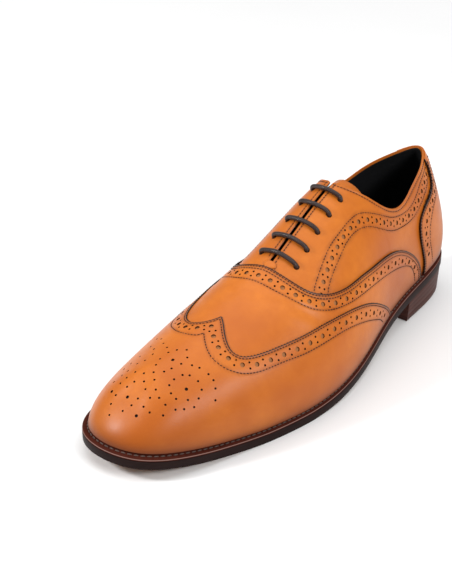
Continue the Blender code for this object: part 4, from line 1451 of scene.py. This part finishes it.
def welt_profile(around):
    """Closed section of the welt at each station (stations, points, 3), the last point on the first."""
    top_h = climb_to(around, lambda p: p[..., 2] > tread(p[..., 1]) + OUTSOLE + WELT)
    inner_low = skin(around, np.zeros(len(around)), WELT_CLEAR)
    inner_top = skin(around, top_h, WELT_CLEAR)
    outer = sole_edge(around)
    base = tread(outer[:, 1]) + OUTSOLE
    inner_low[:, 2] = tread(inner_low[:, 1]) + OUTSOLE + GAP
    inner_top[:, 2] = tread(inner_top[:, 1]) + OUTSOLE + WELT
    rim = np.column_stack([outer, base + WELT_EDGE])
    points = [inner_low]
    for share, down in WELT_TOP:
        points.append(inner_top + (rim - inner_top) * share - np.array((0, 0, down)))
    points.append(np.column_stack([outer, base + GAP]))
    points.append(inner_low)
    return np.stack(points, axis=1)


class SHOE_OT_outsole(bpy.types.Operator):
    """Leather outsole with a dyed edge"""

    bl_idname = "shoe.outsole"
    bl_label = "Outsole"

    def execute(self, context):
        hue = context.scene.shoe_colours
        t = np.linspace(0, BACK, 330)
        outer, inner = sole_edge(t), sole_edge(-t)
        piece = plan_sheet("outsole_leather", outer, inner, lambda s: tread(s) + OUTSOLE, 21)
        drop_sides(piece, OUTSOLE)
        soften(piece, 0.45)
        edge = fibre_finish("dyed_sole_edge", hue.sole, 1.6, 0.45, 60.0, 0.15, STREAKS, gloss=0.05)
        paint(piece, edge, fibre_finish("sole_underside", hue.sole_under, 1.5, 0.5, 300.0, 0.2))
        for face in piece.data.polygons:
            face.material_index = 1 if face.normal.z < -0.8 else 0
        smooth(piece, 45)
        dress(piece, "sole_leather", "outsole")
        return {"FINISHED"}


def breast_station(side):
    """t where the sole outline crosses the heel breast."""
    stations = np.linspace(0.6 * BACK, 0.95 * BACK, 400)
    reach = sole_edge(side * stations)[:, 1]
    return float(np.interp(-HEEL_BREAST, -reach, stations))


class SHOE_OT_heel(bpy.types.Operator):
    """Stacked heel: a top piece and leather lifts"""

    bl_idname = "shoe.heel"
    bl_label = "Heel"

    def execute(self, context):
        hue = context.scene.shoe_colours
        levels = []
        for share, cut in HEEL_LIFTS:
            inset = HEEL_INSET_FOOT + (HEEL_INSET_TOP - HEEL_INSET_FOOT) * share + cut
            out = np.linspace(breast_station(1), BACK, 70)
            back = np.linspace(BACK, breast_station(-1), 70)
            outside, inside = sole_edge(out, -inset), sole_edge(-back, -inset)
            outside[0, 1] = inside[-1, 1] = HEEL_BREAST - cut
            across = np.linspace(0, 1, 24)[:, None]
            breast = inside[-1] * (1 - across) + outside[0] * across
            plan = np.concatenate([outside, inside[1:], breast[1:]])
            levels.append(np.column_stack([plan, share * (tread(plan[:, 1]) - GAP)]))
        piece = weld(grid_piece("heel_lifts", np.stack(levels, axis=1)), closed=True)
        edit_all(piece, CLOSE_ENDS, TURN_OUT)
        paint(piece, fibre_finish("stained_lifts", hue.heel, 2.0, 0.42, 60.0, 0.15, STREAKS, gloss=0.06))
        smooth(piece, 40)
        dress(piece, "heel_stack", "heel")
        return {"FINISHED"}


def eyelet(number, side):
    """Pattern point of an eyelet."""
    t, outside, inside = EYELETS[number]
    return (t, outside) if side > 0 else (-t, inside)


def lace_route():
    """One lace in straight bars, as pattern points (t, h, offset). Both ends stop under the top eyelets."""
    route = []

    def rise(number, side):
        """From under an eyelet to the ridge: share of the way, and offset."""
        t, h = eyelet(number, side)
        steps = [(0, -2.2), (0, 0.3), (0.05, 1.35)] + [(share, LACE_OVER) for share in (0.17, 0.45, 0.8)]
        return [(t, h + (1 - h) * share, offset) for share, offset in steps]

    def bar(number, side):
        route.extend(rise(number, side))
        route.append((side * EYELETS[number][0], 1.0, LACE_OVER))
        route.extend(reversed(rise(number, -side)))

    def run(side, start, end, lane):
        (t_a, h_a), (t_b, h_b) = eyelet(start, side), eyelet(end, side)
        for share in (0.12, 0.5, 0.88):
            bow = lane * (1 - (2 * share - 1) ** 2)
            route.append((t_a + (t_b - t_a) * share, h_a + (h_b - h_a) * share - bow, LACE_UNDER))

    (t_third, h_third), (t_fourth, h_fourth), (t_top, h_top) = (eyelet(number, 1) for number in (2, 3, 4))
    route.append((t_top - 5, h_top - LACE_LANE, LACE_UNDER))
    route.append((t_fourth, h_fourth - LACE_LANE, LACE_UNDER))
    route.append((t_third + 2, h_third - 0.006, LACE_UNDER))
    bar(2, 1)
    run(-1, 2, 0, LACE_LANE)
    bar(0, -1)
    run(1, 0, 1, 0.0)
    bar(1, 1)
    run(-1, 1, 3, -LACE_LANE)
    bar(3, -1)
    run(1, 3, 4, 0.0)
    bar(4, 1)
    t_end, h_end = eyelet(4, -1)
    route.append((t_end + 1.5, h_end, LACE_UNDER))
    route.append((t_end + 6, h_end, LACE_UNDER))
    return np.array(route, float)


class SHOE_OT_lace(bpy.types.Operator):
    """Round waxed lace in five bars"""

    bl_idname = "shoe.lace"
    bl_label = "Lace"

    def execute(self, context):
        route = lace_route()
        knots = skin(route[:, 0], route[:, 1], route[:, 2])
        run = np.append(0, np.cumsum(np.sqrt(np.linalg.norm(np.diff(knots, axis=0), axis=1))))
        path = spline(run, knots)(np.linspace(0, run[-1], 900))
        length = run_length(path)
        even = np.linspace(0, length[-1], 800)
        path = read_line(path, length, even)
        ahead = unit(np.gradient(path, axis=0))
        first = unit(np.cross(ahead, np.roll(ahead, 1, axis=1) + (0.3, 0.2, 0.9)))
        for i in range(1, len(path)):
            first[i] = first[i - 1] - ahead[i] * (first[i - 1] @ ahead[i])
            first[i] /= np.linalg.norm(first[i])
        second = np.cross(ahead, first)
        turns = np.linspace(0, 1, LACE_SIDES + 1)
        angle = math.tau * turns[None, :, None]
        into_tip = ((np.abs(2 * even / even[-1] - 1) - LACE_TIP) / (1 - LACE_TIP)).clip(0, 1)
        radius = context.scene.shoe_sizes.lace_width / 2 * np.sqrt(np.clip(1 - into_tip**2, 0.02, 1))
        ring = first[:, None] * np.cos(angle) + second[:, None] * np.sin(angle)
        tube = path[:, None] + radius[:, None, None] * ring
        along_mm, around = np.meshgrid(even, turns, indexing="ij")
        piece = weld(grid_piece("round_lace", tube, along=along_mm, around=around), closed=True)
        edit_all(piece, CLOSE_ENDS, TURN_OUT)
        paint(piece, lace_finish(context.scene.shoe_colours.lace))
        smooth(piece, 60)
        dress(piece, "lace_cord", "lace")
        print(f"lace length {even[-1]:.0f} mm")
        return {"FINISHED"}


def stitch_rows(name, centres, runs, normals, length, width, finish):
    """Joined mesh of short bars of thread, half sunk in the leather."""
    runs = unit(runs - normals * (runs * normals).sum(1, keepdims=True))
    side = np.cross(normals, runs)
    turn = np.linspace(0, math.tau, STITCH_SIDES, endpoint=False)
    rings = []
    for reach, fat in STITCH_RINGS:
        dip = 0.25 * width * (abs(reach) ** 2)
        middle = centres + runs * (reach * length / 2) - normals * dip
        for angle in turn:
            around = side * math.cos(angle) + normals * (0.8 * math.sin(angle))
            rings.append(middle + around * (fat * width / 2))
    verts = np.stack(rings, axis=1).reshape(-1, 3)
    faces = bar_faces(len(centres), len(STITCH_RINGS), STITCH_SIDES)
    piece = weld(new_piece(name, verts, faces), closed=True)
    paint(piece, finish)
    smooth(piece, 70)
    return piece


class SHOE_OT_stitching(bpy.types.Operator):
    """Rows of thread on the upper, and the seam sunk in the welt"""

    bl_idname = "shoe.stitching"
    bl_label = "Stitching"

    def execute(self, context):
        sizes = context.scene.shoe_sizes
        hue = context.scene.shoe_colours
        heights = {
            "quarters": 0.0, "vamp": VAMP_OUTER, "wing_cap": CAP_OUTER, "heel_counter": COUNTER_OUTER,
        }
        centres, runs, normals = [], [], []
        for name, offset in heights.items():
            for side in SIDES:
                for line in stitch_lines(name, side):
                    spots = evenly(line, sizes.stitch_pitch, offset, side)
                    points = on_skin(spots, offset - STITCH_SUNK, side)
                    centres.append(points)
                    runs.append(np.gradient(points, axis=0))
                    normals.append(outward(side * spots[:, 0], spots[:, 1]))
        thread = fibre_finish("brown_thread", hue.thread, 1.8, 0.5, 2500.0)
        piece = stitch_rows(
            "upper_stitching", np.concatenate(centres), np.concatenate(runs), np.concatenate(normals),
            sizes.stitch_length, sizes.stitch_width, thread,
        )
        dress(piece, "lace_cord")
        self.sew_welt(sizes, hue)
        return {"FINISHED"}

    def sew_welt(self, sizes, hue):
        reach = breast_station(1) + WELT_SEAM_PAST
        groove = welt_profile(np.linspace(-reach, reach, 900))[:, WELT_GROOVE]
        run = run_length(groove)
        points = read_line(groove, run, np.arange(0.5 * sizes.welt_pitch, run[-1], sizes.welt_pitch))
        normals = np.repeat([(0.0, 0.0, 1.0)], len(points), axis=0)
        thread = fibre_finish("welt_thread", hue.welt_thread, 1.7, 0.5, 1800.0)
        piece = stitch_rows(
            "welt_stitching", points + (0, 0, 0.1), np.gradient(points, axis=0), normals,
            WELT_STITCH_LENGTH, WELT_STITCH_WIDTH, thread,
        )
        dress(piece, "lace_cord")


class SHOE_OT_stage(bpy.types.Operator):
    """Pale floor, soft studio lights and the camera"""

    bl_idname = "shoe.stage"
    bl_label = "Stage"

    def execute(self, context):
        stage = context.scene.shoe_stage
        hue = context.scene.shoe_colours
        deselect_all()
        bpy.ops.mesh.primitive_grid_add(x_subdivisions=8, y_subdivisions=8, size=8)
        floor = context.object
        floor.name = "floor"
        paint(floor, fibre_finish("pale_floor", hue.floor, 1.02, 0.6, 3.0, 0.0))
        for name, power in (("top", stage.top_power), ("side", stage.side_power), ("toe", stage.toe_power)):
            self.add_light(context, name, *LIGHTS[name], power)
        world = bpy.data.worlds.new("studio")
        world.use_nodes = True
        sky = world.node_tree.nodes["Background"]
        sky.inputs["Color"].default_value = (1, 1, 1, 1)
        sky.inputs["Strength"].default_value = stage.sky
        context.scene.world = world
        context.scene.view_settings.view_transform = "Standard"
        self.add_camera(context, stage)
        return {"FINISHED"}

    def add_light(self, context, name, spot, size, power):
        light = bpy.data.lights.new(name, "AREA")
        light.shape = "RECTANGLE"
        light.size, light.size_y = size
        light.energy = power
        lamp = bpy.data.objects.new(name, light)
        lamp.location = spot
        lamp.rotation_euler = (Vector(LIGHT_AIM) - Vector(spot)).to_track_quat("-Z", "Y").to_euler()
        context.collection.objects.link(lamp)

    def add_camera(self, context, stage):
        flat = math.cos(stage.elevation)
        back = Vector(
            (math.sin(stage.azimuth) * flat, -math.cos(stage.azimuth) * flat, math.sin(stage.elevation))
        )
        right = Vector((0, 0, 1)).cross(back).normalized()
        up = back.cross(right)
        turn = Matrix((right, up, back)).transposed() @ Matrix.Rotation(stage.roll, 3, "Z")
        view = bpy.data.cameras.new("camera")
        view.sensor_fit = "VERTICAL"
        view.sensor_height = SENSOR_HEIGHT
        view.lens = stage.lens
        camera = bpy.data.objects.new("camera", view)
        camera.matrix_world = turn.to_4x4()
        camera.location = Vector(stage.target) + back * stage.distance
        context.collection.objects.link(camera)
        context.scene.camera = camera


PIECES = (
    SHOE_OT_stage, SHOE_OT_quarters, SHOE_OT_vamp, SHOE_OT_wing_cap, SHOE_OT_heel_counter, SHOE_OT_tongue,
    SHOE_OT_throat_tab, SHOE_OT_insole, SHOE_OT_welt, SHOE_OT_outsole, SHOE_OT_heel, SHOE_OT_lace,
    SHOE_OT_stitching,
)


class SHOE_PT_panel(bpy.types.Panel):
    """Lists the shoe's pieces"""

    bl_label = "Oxford shoe"
    bl_idname = "SHOE_PT_panel"
    bl_space_type = "VIEW_3D"
    bl_region_type = "UI"
    bl_category = "Shoe"

    def draw(self, context):
        for piece in PIECES:
            self.layout.operator(piece.bl_idname)


CLASSES = (ShoeSizes, ShoeColours, ShoeStage) + PIECES + (SHOE_PT_panel,)


def register():
    for item in CLASSES:
        bpy.utils.register_class(item)
    bpy.types.Scene.shoe_sizes = PointerProperty(type=ShoeSizes)
    bpy.types.Scene.shoe_colours = PointerProperty(type=ShoeColours)
    bpy.types.Scene.shoe_stage = PointerProperty(type=ShoeStage)


def unregister():
    del bpy.types.Scene.shoe_stage
    del bpy.types.Scene.shoe_colours
    del bpy.types.Scene.shoe_sizes
    for item in reversed(CLASSES):
        bpy.utils.unregister_class(item)


def main():
    register()
    bpy.ops.shoe.stage()
    bpy.ops.shoe.quarters()
    bpy.ops.shoe.vamp()
    bpy.ops.shoe.wing_cap()
    bpy.ops.shoe.heel_counter()
    bpy.ops.shoe.tongue()
    bpy.ops.shoe.throat_tab()
    bpy.ops.shoe.insole()
    bpy.ops.shoe.welt()
    bpy.ops.shoe.outsole()
    bpy.ops.shoe.heel()
    bpy.ops.shoe.lace()
    bpy.ops.shoe.stitching()


if __name__ == "__main__":
    main()
